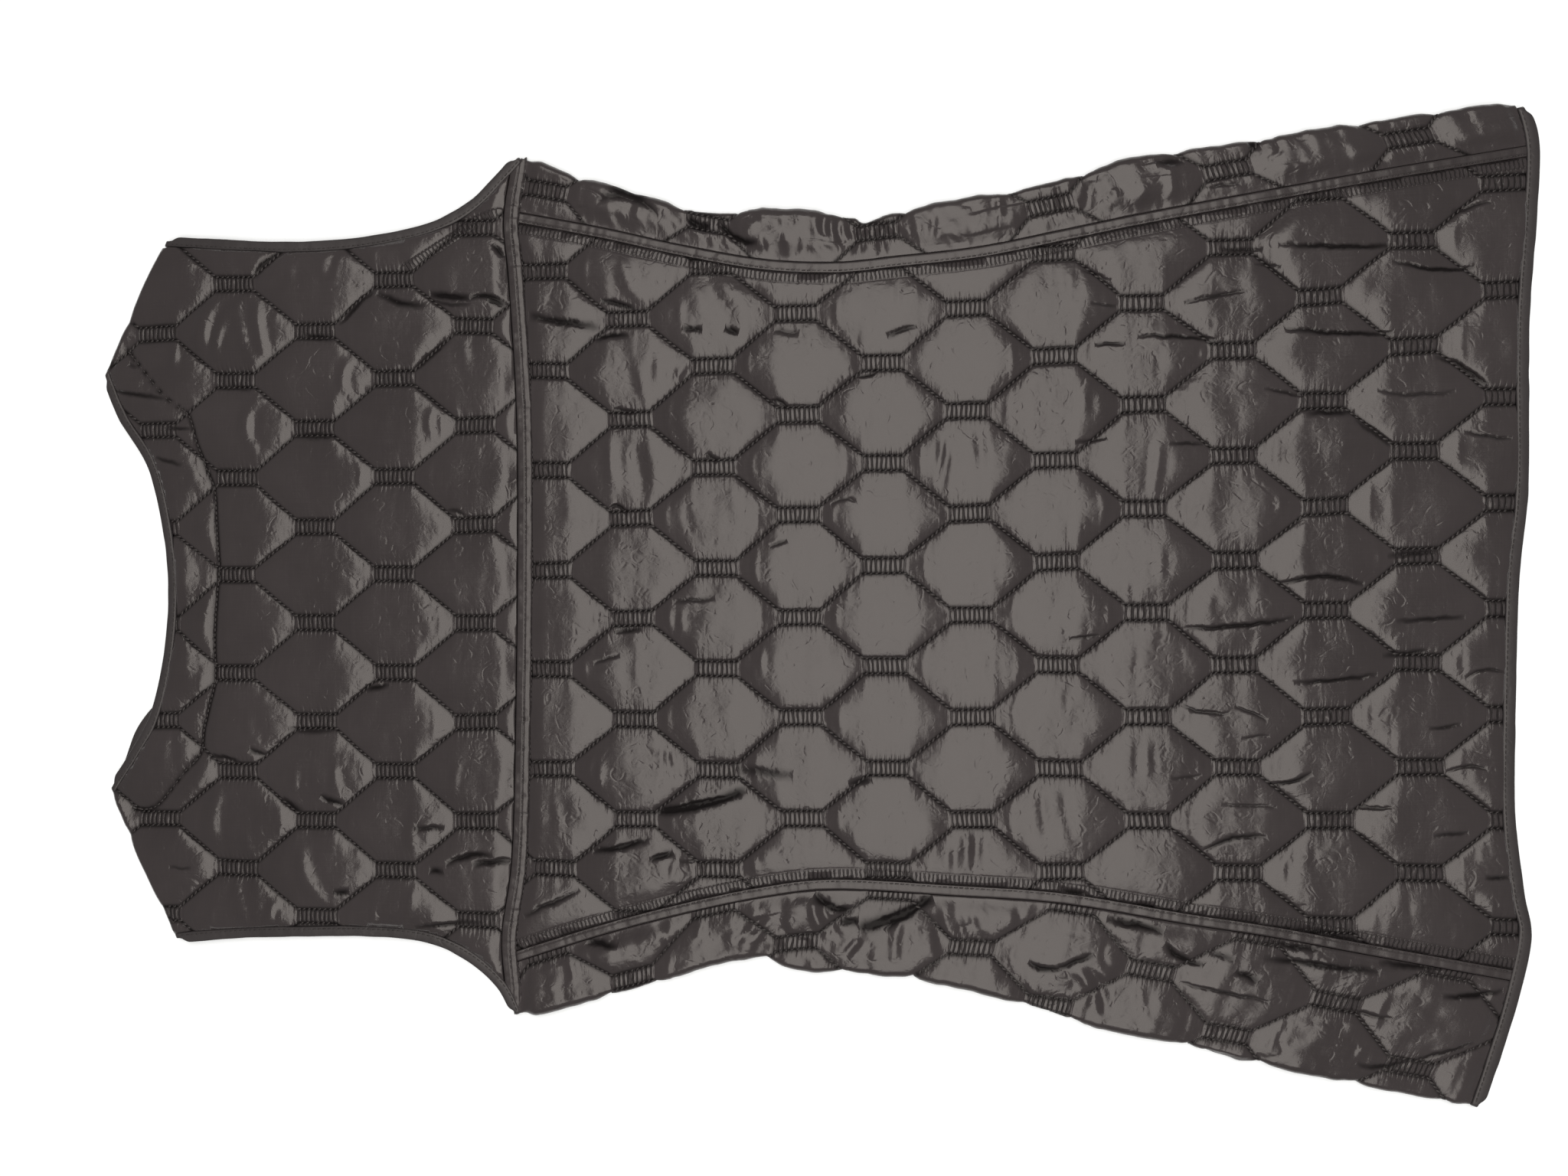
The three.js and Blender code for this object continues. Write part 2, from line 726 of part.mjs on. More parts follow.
// Stations that carry a binding over an edge from the one layer to the other.
function turnOver(point, tangent, across, downwards) {
  const middle = (TOP_RUN + LOW_RUN) / 2;
  const radius = (TOP_RUN - LOW_RUN) / 2;
  const angles = downwards ? TURN_ANGLES : [...TURN_ANGLES].reverse();
  return angles.map((degrees) => {
    const angle = THREE.MathUtils.degToRad(degrees);
    const out = new THREE.Vector3(tangent.x, tangent.y, 0);
    const up = out.clone().multiplyScalar(Math.cos(angle)).addScaledVector(UP, Math.sin(angle));
    const at = new THREE.Vector3(point.x, point.y, middle).addScaledVector(up, radius);
    return { at, across, up };
  });
}

// Stations along the underside, where the binding's outer face looks down.
function underneath(points) {
  return level(points, LOW_RUN, -1).map((station) => ({
    ...station,
    up: UP.clone().negate(),
  }));
}

// A run of points with this much taken off each end.
function shortened(points, distance) {
  const trimmed = (run) => {
    let left = distance;
    let i = 0;
    while (run[i].distanceTo(run[i + 1]) < left) {
      left -= run[i].distanceTo(run[i + 1]);
      i++;
    }
    const start = run[i].clone().lerp(run[i + 1], left / run[i].distanceTo(run[i + 1]));
    return [start, ...run.slice(i + 1)];
  };
  return trimmed(trimmed(points).reverse()).reverse();
}

const TURN_ROOM = 2.6; // from the end of a level run to the outside of its turn

// A run over the back that turns over at both ends. before and after are runs underneath.
function turnedBinding(run, width, before, after, closed = false) {
  const top = level(run, TOP_RUN);
  const first = tangentAt(run, 0);
  const last = tangentAt(run, run.length - 1);
  const start = turnOver(run[0], first.clone().negate(), top[0].across, false);
  const end = turnOver(run[run.length - 1], last, top[top.length - 1].across, true);
  const stations = [
    ...underneath(before),
    ...start,
    ...top.slice(1, -1),
    ...end,
    ...underneath(after),
  ];
  return sweep(stations, bindingSection(width), closed);
}

function armholeBinding(side) {
  const middle = offset(side.armhole, (-side.way * ARMHOLE_BINDING_WIDTH) / 2);
  const run = shortened(middle, TURN_ROOM);
  return turnedBinding(run, ARMHOLE_BINDING_WIDTH, [], [...run].reverse().slice(1, -1), true);
}

const NECK_LEAD = 9; // the front's neckline first follows the back's for this far

// The neckline of one front, on the underside, from the end of the back's run to the centre front.
function frontNeckRun(end, tangent, rows) {
  const near = end.clone().addScaledVector(tangent, NECK_LEAD);
  const points = [end, near, ...rows.map((row) => new THREE.Vector2(row.x, row.y))];
  return spaced(new THREE.SplineCurve(points), CURVE_STEP);
}

const neckRun = shortened(offset(neckLine, NECK_BINDING_WIDTH / 2), TURN_ROOM);
for (const side of Object.values(sides)) {
  const end = side.way > 0 ? 0 : neckRun.length - 1;
  const inwards = tangentAt(neckRun, end).multiplyScalar(side.way);
  side.neckUnder = frontNeckRun(neckRun[end], inwards, side.frontNeck);
}

function neckBinding() {
  const before = [...sides.right.neckUnder].reverse().slice(0, -1);
  const after = sides.left.neckUnder.slice(1);
  return turnedBinding(neckRun, NECK_BINDING_WIDTH, before, after);
}

const END_STEP = 3; // the least step from a run's end to its next station
const hemRun = shortened(offset(hemLine, -HEM_BINDING_WIDTH / 2), TURN_ROOM);

// Underneath, the hem's run parts at the centre front.
function hemBinding() {
  const pointAt = (y) => {
    const next = hemRun.findIndex((point) => point.y < y);
    const share = (y - hemRun[next - 1].y) / (hemRun[next].y - hemRun[next - 1].y);
    return hemRun[next - 1].clone().lerp(hemRun[next], share);
  };
  const openings = [1, -1].map((way) => CENTRE_FRONT_Y + (way * FRONT_OPENING) / 2);
  const right = hemRun.slice(1).filter((point) => point.y > openings[0] + END_STEP);
  const left = hemRun.slice(0, -1).filter((point) => point.y < openings[1] - END_STEP);
  const before = [pointAt(openings[0]), ...right.reverse()];
  const after = [...left.reverse(), pointAt(openings[1])];
  return turnedBinding(hemRun, HEM_BINDING_WIDTH, before, after);
}

// ---------------------------------------------------------------- fronts, underneath

function frontPanel(side) {
  const opening = CENTRE_FRONT_Y + (side.way * FRONT_OPENING) / 2;
  const outline = [
    new THREE.Vector2(PAST_NECK, opening),
    new THREE.Vector2(PAST_NECK, side.neckPoint.y),
    ...side.shoulder,
    ...side.armhole.slice(1),
    ...side.foldLine.slice(1),
    new THREE.Vector2(PAST_HEM, side.foldLine[side.foldLine.length - 1].y),
    new THREE.Vector2(PAST_HEM, opening),
  ];
  const inside = NECK_BINDING_WIDTH / 2 + SEAM_GAP;
  const neckSide = [
    ...lengthened(offset(side.neckUnder, side.way * inside), CARRY_ON),
    new THREE.Vector2(PAST_NECK, CENTRE_FRONT_Y - side.way * OUT),
    new THREE.Vector2(PAST_NECK, side.neckPoint.y + side.way * OUT),
  ];
  const roll = strip(side.shoulder, -SHOULDER_ROLL - SEAM_GAP, SHOULDER_ROLL + SEAM_GAP, LOW, HIGH);
  const cutters = [prism(neckSide, LOW, HIGH), roll, side.armholeCutter, side.underCutter];
  return without(prism(outline, 0, FRONT_WALL), ...cutters, hemCutter);
}

// ---------------------------------------------------------------- the vest

const vest = new THREE.Group();
vest.add(meshOf(backYoke(), "back_yoke", NYLON));
vest.add(meshOf(backCentre(), "back_centre", NYLON));
const yokeSeam = without(
  felledSeam(yokeSeamLine, YOKE_SEAM_WIDTH),
  sides.right.armholeCutter,
  sides.left.armholeCutter,
);
vest.add(meshOf(yokeSeam, "yoke_seam", NYLON));
for (const [name, side] of Object.entries(sides)) {
  vest.add(meshOf(sidePanel(side), `side_${name}`, NYLON));
  vest.add(meshOf(frontPanel(side), `front_${name}`, NYLON));
  const cutters = [yokeSideCutter, yokeSeamCutter, hemCutter];
  const seam = without(felledSeam(side.seamLine, SIDE_SEAM_WIDTH), ...cutters);
  vest.add(meshOf(seam, `side_seam_${name}`, NYLON));
  vest.add(meshOf(armholeBinding(side), `armhole_binding_${name}`, TRIM));
}
vest.add(meshOf(neckBinding(), "neck_binding", TRIM));
vest.add(meshOf(hemBinding(), "hem_binding", TRIM));

export default vest;
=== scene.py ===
"""Dresses the quilted vest that lies flat with its back up.

Shapes are worked out in millimetres in the vest's own frame and put into Blender in metres.
+X runs from neck to hem, +Y towards the wearer's right side, and +Z up out of the back.
"""

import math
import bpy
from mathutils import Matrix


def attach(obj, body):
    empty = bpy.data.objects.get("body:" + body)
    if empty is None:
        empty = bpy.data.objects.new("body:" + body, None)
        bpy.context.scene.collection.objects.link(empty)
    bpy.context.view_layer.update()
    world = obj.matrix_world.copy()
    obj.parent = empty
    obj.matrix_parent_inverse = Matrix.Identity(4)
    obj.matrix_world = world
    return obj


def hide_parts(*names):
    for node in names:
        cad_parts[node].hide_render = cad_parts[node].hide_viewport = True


bl_info = {
    "name": "Quilted Vest",
    "version": (1, 0, 0),
    "blender": (4, 5, 0),
    "location": "View3D > Sidebar > Vest",
    "description": "Puffs, seams, stitches and bindings of a quilted vest laid flat",
    "category": "Object",
}

from types import SimpleNamespace

import bmesh
import bpy
import numpy as np
from mathutils.geometry import tessellate_polygon

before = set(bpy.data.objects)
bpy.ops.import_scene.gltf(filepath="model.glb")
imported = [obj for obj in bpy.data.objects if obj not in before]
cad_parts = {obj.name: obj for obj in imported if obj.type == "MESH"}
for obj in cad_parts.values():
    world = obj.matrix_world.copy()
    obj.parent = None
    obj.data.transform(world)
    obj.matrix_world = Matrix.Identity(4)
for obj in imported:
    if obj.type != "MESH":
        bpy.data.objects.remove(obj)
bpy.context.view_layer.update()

MM = 0.001

# ---------------------------------------------------------------- the vest's lines, in mm
# The outlines run from the neck to the hem, and across from the right side to the left.

NECK_EDGE = [
    (-394.4, 130), (-384, 106), (-367, 79), (-358, 44), (-354.5, 9),
    (-357, -27), (-365, -62), (-377, -84), (-390.5, -104),
]
ARMHOLE_RIGHT = [
    (-355, 211), (-310, 207.5), (-274, 206), (-238, 208),
    (-202, 214.5), (-178, 226), (-161, 242), (-151, 252.5),
]
ARMHOLE_LEFT = [
    (-349, -194), (-310, -190), (-274, -188.5), (-238, -187.5),
    (-205, -189.5), (-181, -198.5), (-162, -214), (-153, -231),
]
SIDE_RIGHT = [
    (-151, 252.5), (-114, 237), (-79, 225), (-45, 217.5), (-5, 215.5), (34, 212.5), (43, 209),
    (56, 212.5), (90, 218.5), (139, 226.5), (188, 239), (236, 245), (283, 251.5), (330, 257.5),
    (384, 263),
]
SIDE_LEFT = [
    (-153, -231), (-114, -220.5), (-79, -212), (-45, -198.5), (-17, -193), (6, -199),
    (40, -200.5), (73, -202.5), (106, -208.5), (155, -223), (204, -232), (252, -242.5),
    (299, -251), (368, -264),
]
HEM = [
    (389, 263), (394.4, 240), (393, 200), (389.5, 145), (389, 62), (384.5, 15), (382.5, -60),
    (382.5, -110), (387, -150), (390.5, -172), (384, -205), (375, -236), (366, -264),
]
YOKE_SEAM = [
    (-150, 256), (-149, 246), (-153.5, 215), (-150.5, 180), (-146, 105), (-145.5, 17),
    (-147, -90), (-149, -145), (-154.5, -185), (-152.5, -215), (-153, -236),
]
SIDE_BACK_RIGHT = [
    (-158, 218), (-104, 207), (-58, 196), (-12, 187), (28, 184.5), (61, 187), (105, 191),
    (150, 199), (193, 207), (266, 219), (320, 227.5), (398, 238.5),
]
SIDE_BACK_LEFT = [
    (-158, -199), (-104, -181), (-58, -168), (-12, -157.5), (28, -152.5), (91, -154.5),
    (150, -157.5), (215, -167), (260, -173), (314, -182), (398, -195.5),
]
FRONT_NECK_RIGHT = [(-372, 92), (-330, 58), (-305, 34), (-297, 12.5)]
FRONT_NECK_LEFT = [(-368, -66), (-330, -32), (-305, -8), (-297, 11.5)]
# Where a side panel ends on the underside, counted in from its fold: x, then right and left.
SIDE_FRONT = [(-158, 35, 35), (40, 48, 34), (398, 90, 40)]
FACING_STITCHES = [
    (-379, 146), (-371, 137), (-356, 119), (-342, 108), (-337, 93), (-331, 77), (-326, 63),
    (-324, 34), (-324, 19), (-326, -23), (-326, -39), (-327, -49), (-332, -71), (-335, -86),
    (-344, -96), (-352, -106), (-362, -116), (-375, -118),
]
ARMHOLE_LADDER = [(-214, 189), (-208, 192), (-188, 205), (-175, 214), (-160, 219)]

# Sharp folds: from x, y to x, y, bowed to the left, half width and depth. On the side panels, x runs
# along the panel and y across it from its seam.
FOLDS = {
    "yoke": [
        (-303, 186, -286, 200, 1.8, 1.6, 1), (-200, 174, -175, 171, 0, 1.5, 1.1),
        (-177, 171, -155, 167, 2.7, 1.2, 1), (-199, 171, -176, 168, -1.4, 0.9, 0.6),
        (-389, 123, -355, 118, -0.6, 1, 0.8), (-377, 138, -372, 136, 0, 0.8, 0.5),
        (-361, 84, -344, 79, 0.4, 0.8, 0.7), (-356, 101, -340, 100, 0, 0.9, 0.7),
        (-231, 176, -202, 168, -2.2, 1.6, 0.9), (-274, 152, -255, 151, 0, 1.5, 1),
        (-324, 124, -305, 123, 0, 1.4, 0.8), (-253, 158, -232, 178, 0, 1.3, 0.8),
        (-210, 131, -188, 150, 0, 1.3, 0.8), (-279, 96, -255, 95, 0, 1.4, 0.8),
        (-190, 53, -179, 49, 1.3, 0.9, 0.6), (-237, -48, -224, -45, 0, 1.3, 0.9),
        (-330, -87, -308, -92, 2.2, 1.1, 0.8), (-305, -82, -295, -86, 0, 1.3, 0.8),
        (-263, -108, -249, -113, 0, 1.3, 0.9), (-255, -162, -246, -162, 0, 1.6, 0.9),
        (-200, -149, -191, -149, 0, 1.5, 0.9), (-190, -145, -163, -140, 2.4, 1.4, 1),
        (-175, -145, -153, -143, 0.4, 1.4, 1), (-208, -125, -191, -125, 0, 1.2, 0.8),
        (-351, -150, -338, -150, 0, 0.8, 0.5), (-376, -117, -364, -118, 0, 1, 0.7),
        (-208, -181, -169, -179, 1.2, 1.1, 0.8), (-282, -71, -254, -71, 0, 1.3, 0.7),
        (-286, -110, -273, -118, 0, 1.5, 0.9), (-167, 170, -156, 168, 0, 1.4, 1),
        (-163, 201, -157, 194, 0, 1.2, 0.9), (-167, -143, -153, -142, 0, 1.1, 0.8),
    ],
    "centre": [
        (261, 190, 324, 189, -0.9, 1, 1), (320, 181, 362, 177, -3, 0.9, 1),
        (213, 161, 245, 166, 0.7, 0.9, 0.7), (166, 140, 182, 140, 0, 0.9, 0.8),
        (189, 143, 231, 141, 1.2, 0.9, 0.9), (265, 146, 321, 143, -1, 1, 1),
        (232, 190, 254, 188, 0, 1, 0.8), (249, 181, 263, 179, 0, 0.7, 0.5),
        (350, 206, 369, 211, 0, 0.9, 0.7), (254, 115, 276, 111, 0, 0.8, 0.7),
        (312, 113, 351, 112, -2, 0.8, 0.6), (342, 131, 369, 113, 2.2, 1.2, 0.9),
        (205, 86, 224, 86, 0, 0.8, 0.7), (276, 102, 301, 102, 0, 1.3, 0.9),
        (301, 98, 322, 83, 0, 1.2, 0.7), (356, 91, 379, 87, -0.8, 0.8, 0.7),
        (160, 180, 175, 174, 0, 0.7, 0.5), (164, 161, 180, 160, 0, 0.7, 0.5),
        (156, 87, 173, 90, 0, 0.8, 0.6), (262, 11, 306, 11, 4.4, 1, 1),
        (213, -12, 270, -6, -1.7, 1, 1), (321, -8, 356, -6, 0.1, 0.9, 0.8),
        (153, -18, 169, -16, 0, 0.7, 0.6), (269, -41, 312, -36, -0.5, 0.9, 0.9),
        (212, -53, 237, -57, -1.7, 0.8, 0.7), (239, -53, 256, -60, 0, 0.7, 0.6),
        (243, -70, 257, -69, 0, 0.7, 0.5), (258, -95, 279, -88, -1, 1, 0.9),
        (301, -106, 320, -106, 0, 0.8, 0.7), (340, -120, 358, -118, 0, 0.8, 0.7),
        (337, -64, 354, -62, 0, 0.8, 0.7), (356, -38, 376, -35, 2.9, 0.8, 0.7),
        (347, -87, 367, -85, 2.8, 0.8, 0.7), (223, -130, 256, -122, 3.2, 1, 0.9),
        (232, -105, 261, -106, 0, 0.7, 0.5), (365, -141, 378, -141, 0, 0.9, 0.8),
        (318, 26, 345, 29, 0, 1.2, 0.8), (315, -26, 338, -24, 0, 1.2, 0.8),
        (206, -92, 223, -90, 0, 0.7, 0.5), (265, -171, 310, -179, 1.7, 1.3, 0.9),
        (188, -160, 216, -170, 1.3, 1.4, 1), (147, -152, 164, -155, 0, 1.2, 0.8),
        (-103, 168, -83, 162, 2, 1.4, 1), (-56, 152, -45, 151, 0, 1.3, 0.9),
        (-33, 152, -25, 149, 0, 1.5, 1), (-106, 147, -87, 149, 1.1, 1.4, 1),
        (-143, 161, -103, 154, -1.1, 1.8, 1), (-9, 112, 2, 107, 2.2, 0.9, 0.8),
        (39, 125, 51, 129, -2.2, 0.9, 0.8), (56, 146, 72, 151, 0.9, 1.1, 0.8),
        (-98, 54, -88, 50, 2.6, 0.9, 0.9), (25, 54, 40, 57, 2.2, 1, 0.5),
        (-6, 151, 8, 148, 0, 1.6, 0.5), (-9, 32, 2, 35, 0, 0.9, 0.6), (-62, 2, -38, 4, 0, 1.2, 0.6),
        (-43, 84, -37, 78, 0, 1.2, 0.7), (-95, 108, -83, 106, 0, 1.3, 0.7),
        (-73, -114, -21, -101, -2.2, 2, 1.6), (-107, -136, -75, -129, -1.2, 1.5, 1.1),
        (-74, -141, -61, -137, 0.8, 1.5, 1.1), (-106, -32, -91, -28, 0, 0.9, 0.6),
        (-27, -90, 5, -93, 0.1, 2.2, 0.7), (35, -98, 48, -95, 0.7, 1.3, 0.8),
        (-146, -173, -114, -158, -0.1, 1.2, 0.8), (-58, -141, -45, -141, 0, 0.8, 0.5),
        (-95, -15, -79, -13, 0, 1.2, 0.8),
    ],
    "right": [
        (52, 17, 87, 16, 5.7, 1.8, 0.9), (103, 19, 116, 17, -2.8, 1.8, 1.3),
        (120, 20, 142, 10, -3.2, 1.4, 1.2), (358, 27, 373, 26, 0, 1.6, 0.8),
        (380, 10, 398, 9, 0, 0.9, 0.6), (407, 28, 413, 28, 0, 1.6, 0.9),
    ],
    "left": [
        (351, 14, 374, 23, 2.6, 1.4, 1), (375, 16, 387, 17, 0, 1.3, 0.7),
        (389, 23, 402, 27, 0, 1.6, 0.9), (365, 34, 411, 37, -0.1, 0.8, 0.7),
        (401, 5, 427, 4, 1.3, 1.4, 0.9), (401, 14, 457, 10, 0.2, 1.6, 1),
        (455, 5, 486, 3, 0.7, 1.4, 0.9), (489, 17, 516, 9, 0.9, 1.2, 1),
        (447, 34, 471, 34, 0, 0.9, 0.6), (463, 61, 489, 55, 2.7, 1.2, 0.8),
        (488, 56, 513, 39, -0, 1, 0.7), (287, 35, 305, 37, 2.5, 1.3, 1),
        (301, 38, 319, 27, 0, 1.2, 0.9), (321, 8, 350, 9, -1.1, 1.6, 1),
        (210, 24, 228, 9, -1.2, 1.6, 1), (171, 5, 192, 14, 2, 1.8, 1.2),
        (196, 23, 232, 4, 2.7, 2.4, 1.6), (187, 20, 196, 20, 0, 1.8, 1), (47, 3, 65, 10, 0.8, 1.4, 1),
    ],
}
# Soft ridges and hollows, in the same way, with a height that is negative in a hollow.
RIDGES = {
    "yoke": [
        (-328, 143, -303, 179, 7.5, 1.8, -1.1), (-335, 145, -321, 176, 4.9, 3, 1),
        (-324, 145, -302, 177, 5.8, 2, 0.9), (-301, 173, -296, 143, -0.7, 2.6, 0.9),
        (-313, 162, -301, 136, -0.3, 2.2, 0.8), (-254, 199, -266, 181, 2.5, 1.8, -1.2),
        (-298, 117, -298, 87, -8.8, 3, 1), (-301, 106, -294, 88, -4.1, 2, -0.6),
        (-244, 138, -246, 118, -5.4, 2.2, 1), (-198, 108, -196, 95, -2.5, 1.8, 0.8),
        (-200, 129, -193, 123, 0, 1.8, 0.5), (-351, 148, -353, 132, 3.1, 2.2, 0.7),
        (-233, 198, -231, 192, 0, 1.8, 0.6), (-282, 186, -278, 192, 0, 2.2, 0.7),
        (-183, 147, -176, 135, 0, 2.6, 0.7), (-252, 124, -257, 106, 0, 2.6, 0.5),
        (-306, -65, -298, -78, -1.6, 2.2, 0.8), (-310, -80, -299, -94, 0.2, 2.4, 0.8),
        (-249, -89, -248, -106, -6.2, 2.2, 1), (-276, -94, -276, -103, -1.6, 1.6, 0.6),
        (-321, -104, -325, -135, -3.4, 3.6, 1), (-308, -130, -301, -143, -1.2, 2.4, 0.8),
        (-274, -138, -256, -172, -4.6, 3.4, 1.2), (-187, -142, -177, -142, 0, 1.8, 0.7),
        (-212, -122, -208, -137, 0, 2.4, 0.7), (-183, -92, -186, -100, 0, 1.8, 0.6),
        (-314, -157, -306, -180, 0.1, 2, 0.8), (-294, -178, -289, -169, 0, 1.8, 0.8),
        (-327, -175, -326, -184, 0, 1.6, 0.7), (-231, -171, -231, -181, 0, 1.6, 0.7),
        (-207, -160, -213, -171, 0, 2.2, 0.6), (-186, -46, -162, -41, 0, 2.6, 0.4),
        (-354, 4, -347, -13, 0, 2.6, 0.5), (-345, -19, -339, -47, 0, 3.5, 0.5),
        (-356, -72, -355, -95, 0, 3, 0.6),
    ],
    "centre": [
        (139, -97, 142, -121, -1.9, 2.4, -0.7), (149, -98, 156, -127, -0.1, 2.4, -0.6),
        (193, -75, 193, -90, 0, 2.2, 0.55), (201, 29, 200, 14, 0, 2.2, 0.55),
        (262, 59, 263, 47, 0, 2, 0.5), (115, -23, 113, -44, -2.8, 2.6, 0.5),
        (348, -24, 351, -40, 0, 2.2, 0.5), (200, 88, 196, 56, 0.8, 2.4, 0.6),
        (160, 115, 161, 104, 0, 2.2, 0.5), (318, 57, 320, 46, 0, 2.2, 0.5),
        (152, 182, 154, 166, 0, 2.4, 0.5), (105, 95, 107, 72, 0, 2.6, -0.6),
        (105, -121, 103, -142, -0, 2.4, -0.6), (97, -121, 98, -142, 1.6, 2.2, 0.5),
        (-91, 189, -71, 164, -3.6, 3, 1.2), (-45, 181, -25, 152, -1.5, 4.5, -1),
        (-58, 166, -57, 158, 0, 2, 0.6), (-96, 136, -82, 140, 0, 2, 0.8),
        (-73, 136, -74, 127, 0, 1.8, -0.6), (-83, 132, -76, 115, 0, 2.2, 0.7),
        (44, 93, 49, 102, -1.4, 1, -0.5), (-96, 88, -92, 66, -2.1, 2.8, 0.8),
        (-84, 89, -77, 54, 0.9, 3.6, -0.7), (-55, 53, -45, 35, -1.8, 1.8, -0.6),
        (89, 87, 84, 62, 0.5, 1.8, -0.6), (86, 89, 84, 76, 0, 1.6, 0.5),
        (62, 173, 62, 165, 0, 1.6, -0.7), (-62, 120, -53, 135, 0, 1.8, 0.8),
        (-64, 78, -60, 71, 0, 1.4, -0.5), (-70, -118, -21, -104, -1.9, 3, 0.6),
        (-83, -29, -83, -42, -5.2, 2.6, -0.6), (-64, -78, -61, -91, -2.2, 1.6, -0.9),
        (-62, -150, -53, -137, 2.8, 1.8, 0.8), (-18, -138, -14, -149, 0, 1.4, 0.7),
        (7, -146, 12, -139, 0, 1.4, 0.7), (72, -132, 71, -142, 0, 1.6, -0.7),
        (92, -130, 92, -145, 0, 2.2, -0.8), (-102, -89, -103, -102, 0, 2, 0.6),
        (-13, -25, -13, -36, 0, 2, 0.7), (-57, -4, -56, -13, 0, 2, 0.6),
        (-129, -109, -124, -123, 0, 2, 0.5), (325, 235, 326, 228, 0, 1.6, 0.7),
    ],
    "right": [
        (103, 14, 112, 10, 0, 2, 0.9), (146, 9, 157, 11, -1.2, 6, -2),
        (179, 28, 179, 16, -1.4, 2, -1.1), (187, 26, 189, 11, -2.2, 2, -1.1),
        (183, 27, 185, 12, -0.8, 1.8, 0.9), (191, 26, 197, 10, -0.4, 2, -1.1),
        (201, 22, 197, 1, -2.2, 2.4, 1), (206, 21, 202, 2, -0.8, 3, -0.9),
        (211, 20, 211, 1, -1.4, 2, 1), (216, 24, 220, 12, -1.3, 2, -1.2),
        (239, 22, 235, 7, 0, 1.6, -0.6), (93, 15, 98, 4, 0, 2.2, -0.7),
        (119, 18, 122, 7, 0, 2.2, -0.9), (137, 18, 146, 24, 0, 2.2, 0.7), (59, 9, 64, 2, 0, 2, 0.8),
        (74, 11, 77, 20, 0, 2.2, 0.7), (243, 11, 250, 2, 0, 2.2, -0.7), (169, 11, 161, 3, 0, 2, -0.7),
        (174, 14, 186, 2, 0, 2, -0.8), (275, 28, 273, 16, 0, 1.8, 0.8), (291, 27, 290, 12, 0, 2, -0.7),
        (302, 26, 301, 10, 0, 2.2, 0.9), (324, 25, 314, 3, 0, 2.6, 0.7),
        (364, 23, 362, 8, 0, 2.4, 0.9), (350, 17, 340, 1, 0, 3.4, 0.8), (334, 18, 334, 13, 0, 2, 0.7),
        (428, 13, 425, 4, 0, 1.6, 0.7),
    ],
    "left": [
        (311, 35, 327, 60, -2.8, 2.6, 0.9), (317, 34, 333, 58, -2.5, 2.2, -0.8),
        (275, 6, 278, 28, -2.7, 2.6, -0.9), (236, 8, 246, 41, 2.3, 2.4, -0.8),
        (244, 8, 254, 41, 0.9, 2.2, 0.8), (250, 7, 266, 38, 0.1, 2.2, -0.7),
        (345, 38, 355, 59, 0.8, 2.4, 0.5), (290, 47, 295, 61, -2, 2.2, 0.7),
        (131, 25, 148, 10, 0.9, 2.4, -1), (139, 31, 147, 16, 0, 2, 0.7),
        (155, 20, 171, 31, 2.9, 2.2, -1.1), (171, 7, 180, 29, 2.2, 2.2, 1),
        (175, 8, 187, 29, 1.1, 1.8, -0.9), (168, 30, 179, 43, 0, 2, -0.9),
        (238, 1, 246, 27, 2.9, 2.4, 0.9), (244, 2, 254, 29, 1.9, 2.4, -0.9),
        (218, 16, 218, 41, 1.3, 2.6, 0.8), (9, -2, 12, 16, 0, 2, -0.9), (29, 1, 31, 12, 0, 2, -1),
        (36, 5, 39, 22, 0, 2, 0.7), (48, 7, 51, 20, 0, 1.8, -0.8), (198, 29, 191, 39, 0, 2, -1),
        (88, 6, 95, 20, 0, 2.4, -0.7), (111, 6, 110, 18, 0, 2, 0.6),
    ],
}

# How far from its ends a fold may still show, in mm.
FOLD_REACH = 4.0
FOLD_CUTS = {"yoke": [-240], "centre": [-40, 150, 240, 300]}  # where a panel's next material starts

# ---------------------------------------------------------------- fixed measures, in mm

GAP = 0.3
FRONT_WALL = 2.5
BACK_INSIDE = 2.9
STITCHED_WALL = 1.3
UNDER_SHOULDER = 0.3  # the lowest place of the shoulders' rounded edge
SHOULDER_ROUND = 3.0  # how far that edge reaches out
CENTRE_FRONT_Y = 12.0
FRONT_OPENING = 1.0
YOKE_QUILT = {"x": -266.9, "y": 44.6, "degrees": 0.3}
CENTRE_QUILT = {"x": 7.5, "y": 48.9, "degrees": 0.8}

# How high a binding's middle lies over and under the vest, and how far its ends stay from corners.
TOP_RUN = BACK_INSIDE + 1
LOW_RUN = 1.35
TURN_ROOM = 2.6
HEM_START = 3.9  # more room, where the hem meets the right side's round corner
END_ROUND = 6.0

# Stitches: length, width and height. A quilting stitch lies aslant, like a link of a chain.
QUILT_STITCH = (3.5, 1.55, 1.15)
QUILT_SLANT = 30
FACING_STITCH = (2.5, 1.2, 1.0)
SEAM_STITCH = (2.3, 0.75, 0.6)
BINDING_STITCH = (2.2, 0.7, 0.55)
ROW_SLANT = 4
EDGE_PITCH = 2.9
YOKE_ROWS = (0.4, 4.5)  # how far the yoke seam's stitches lie from its middle, towards the hem
SIDE_ROW = 1.7

WELD = 0.004
PLAN_WELD = 0.02
FAR_FROM_STITCHES = 20.0


# ---------------------------------------------------------------- what a user would change


def length(name, description, default):
    return bpy.props.FloatProperty(
        name=name, description=description, default=default * MM, unit="LENGTH", precision=5
    )


def colour(name, description, default):
    return bpy.props.FloatVectorProperty(
        name=name, description=description, default=default, subtype="COLOR", min=0, max=1
    )


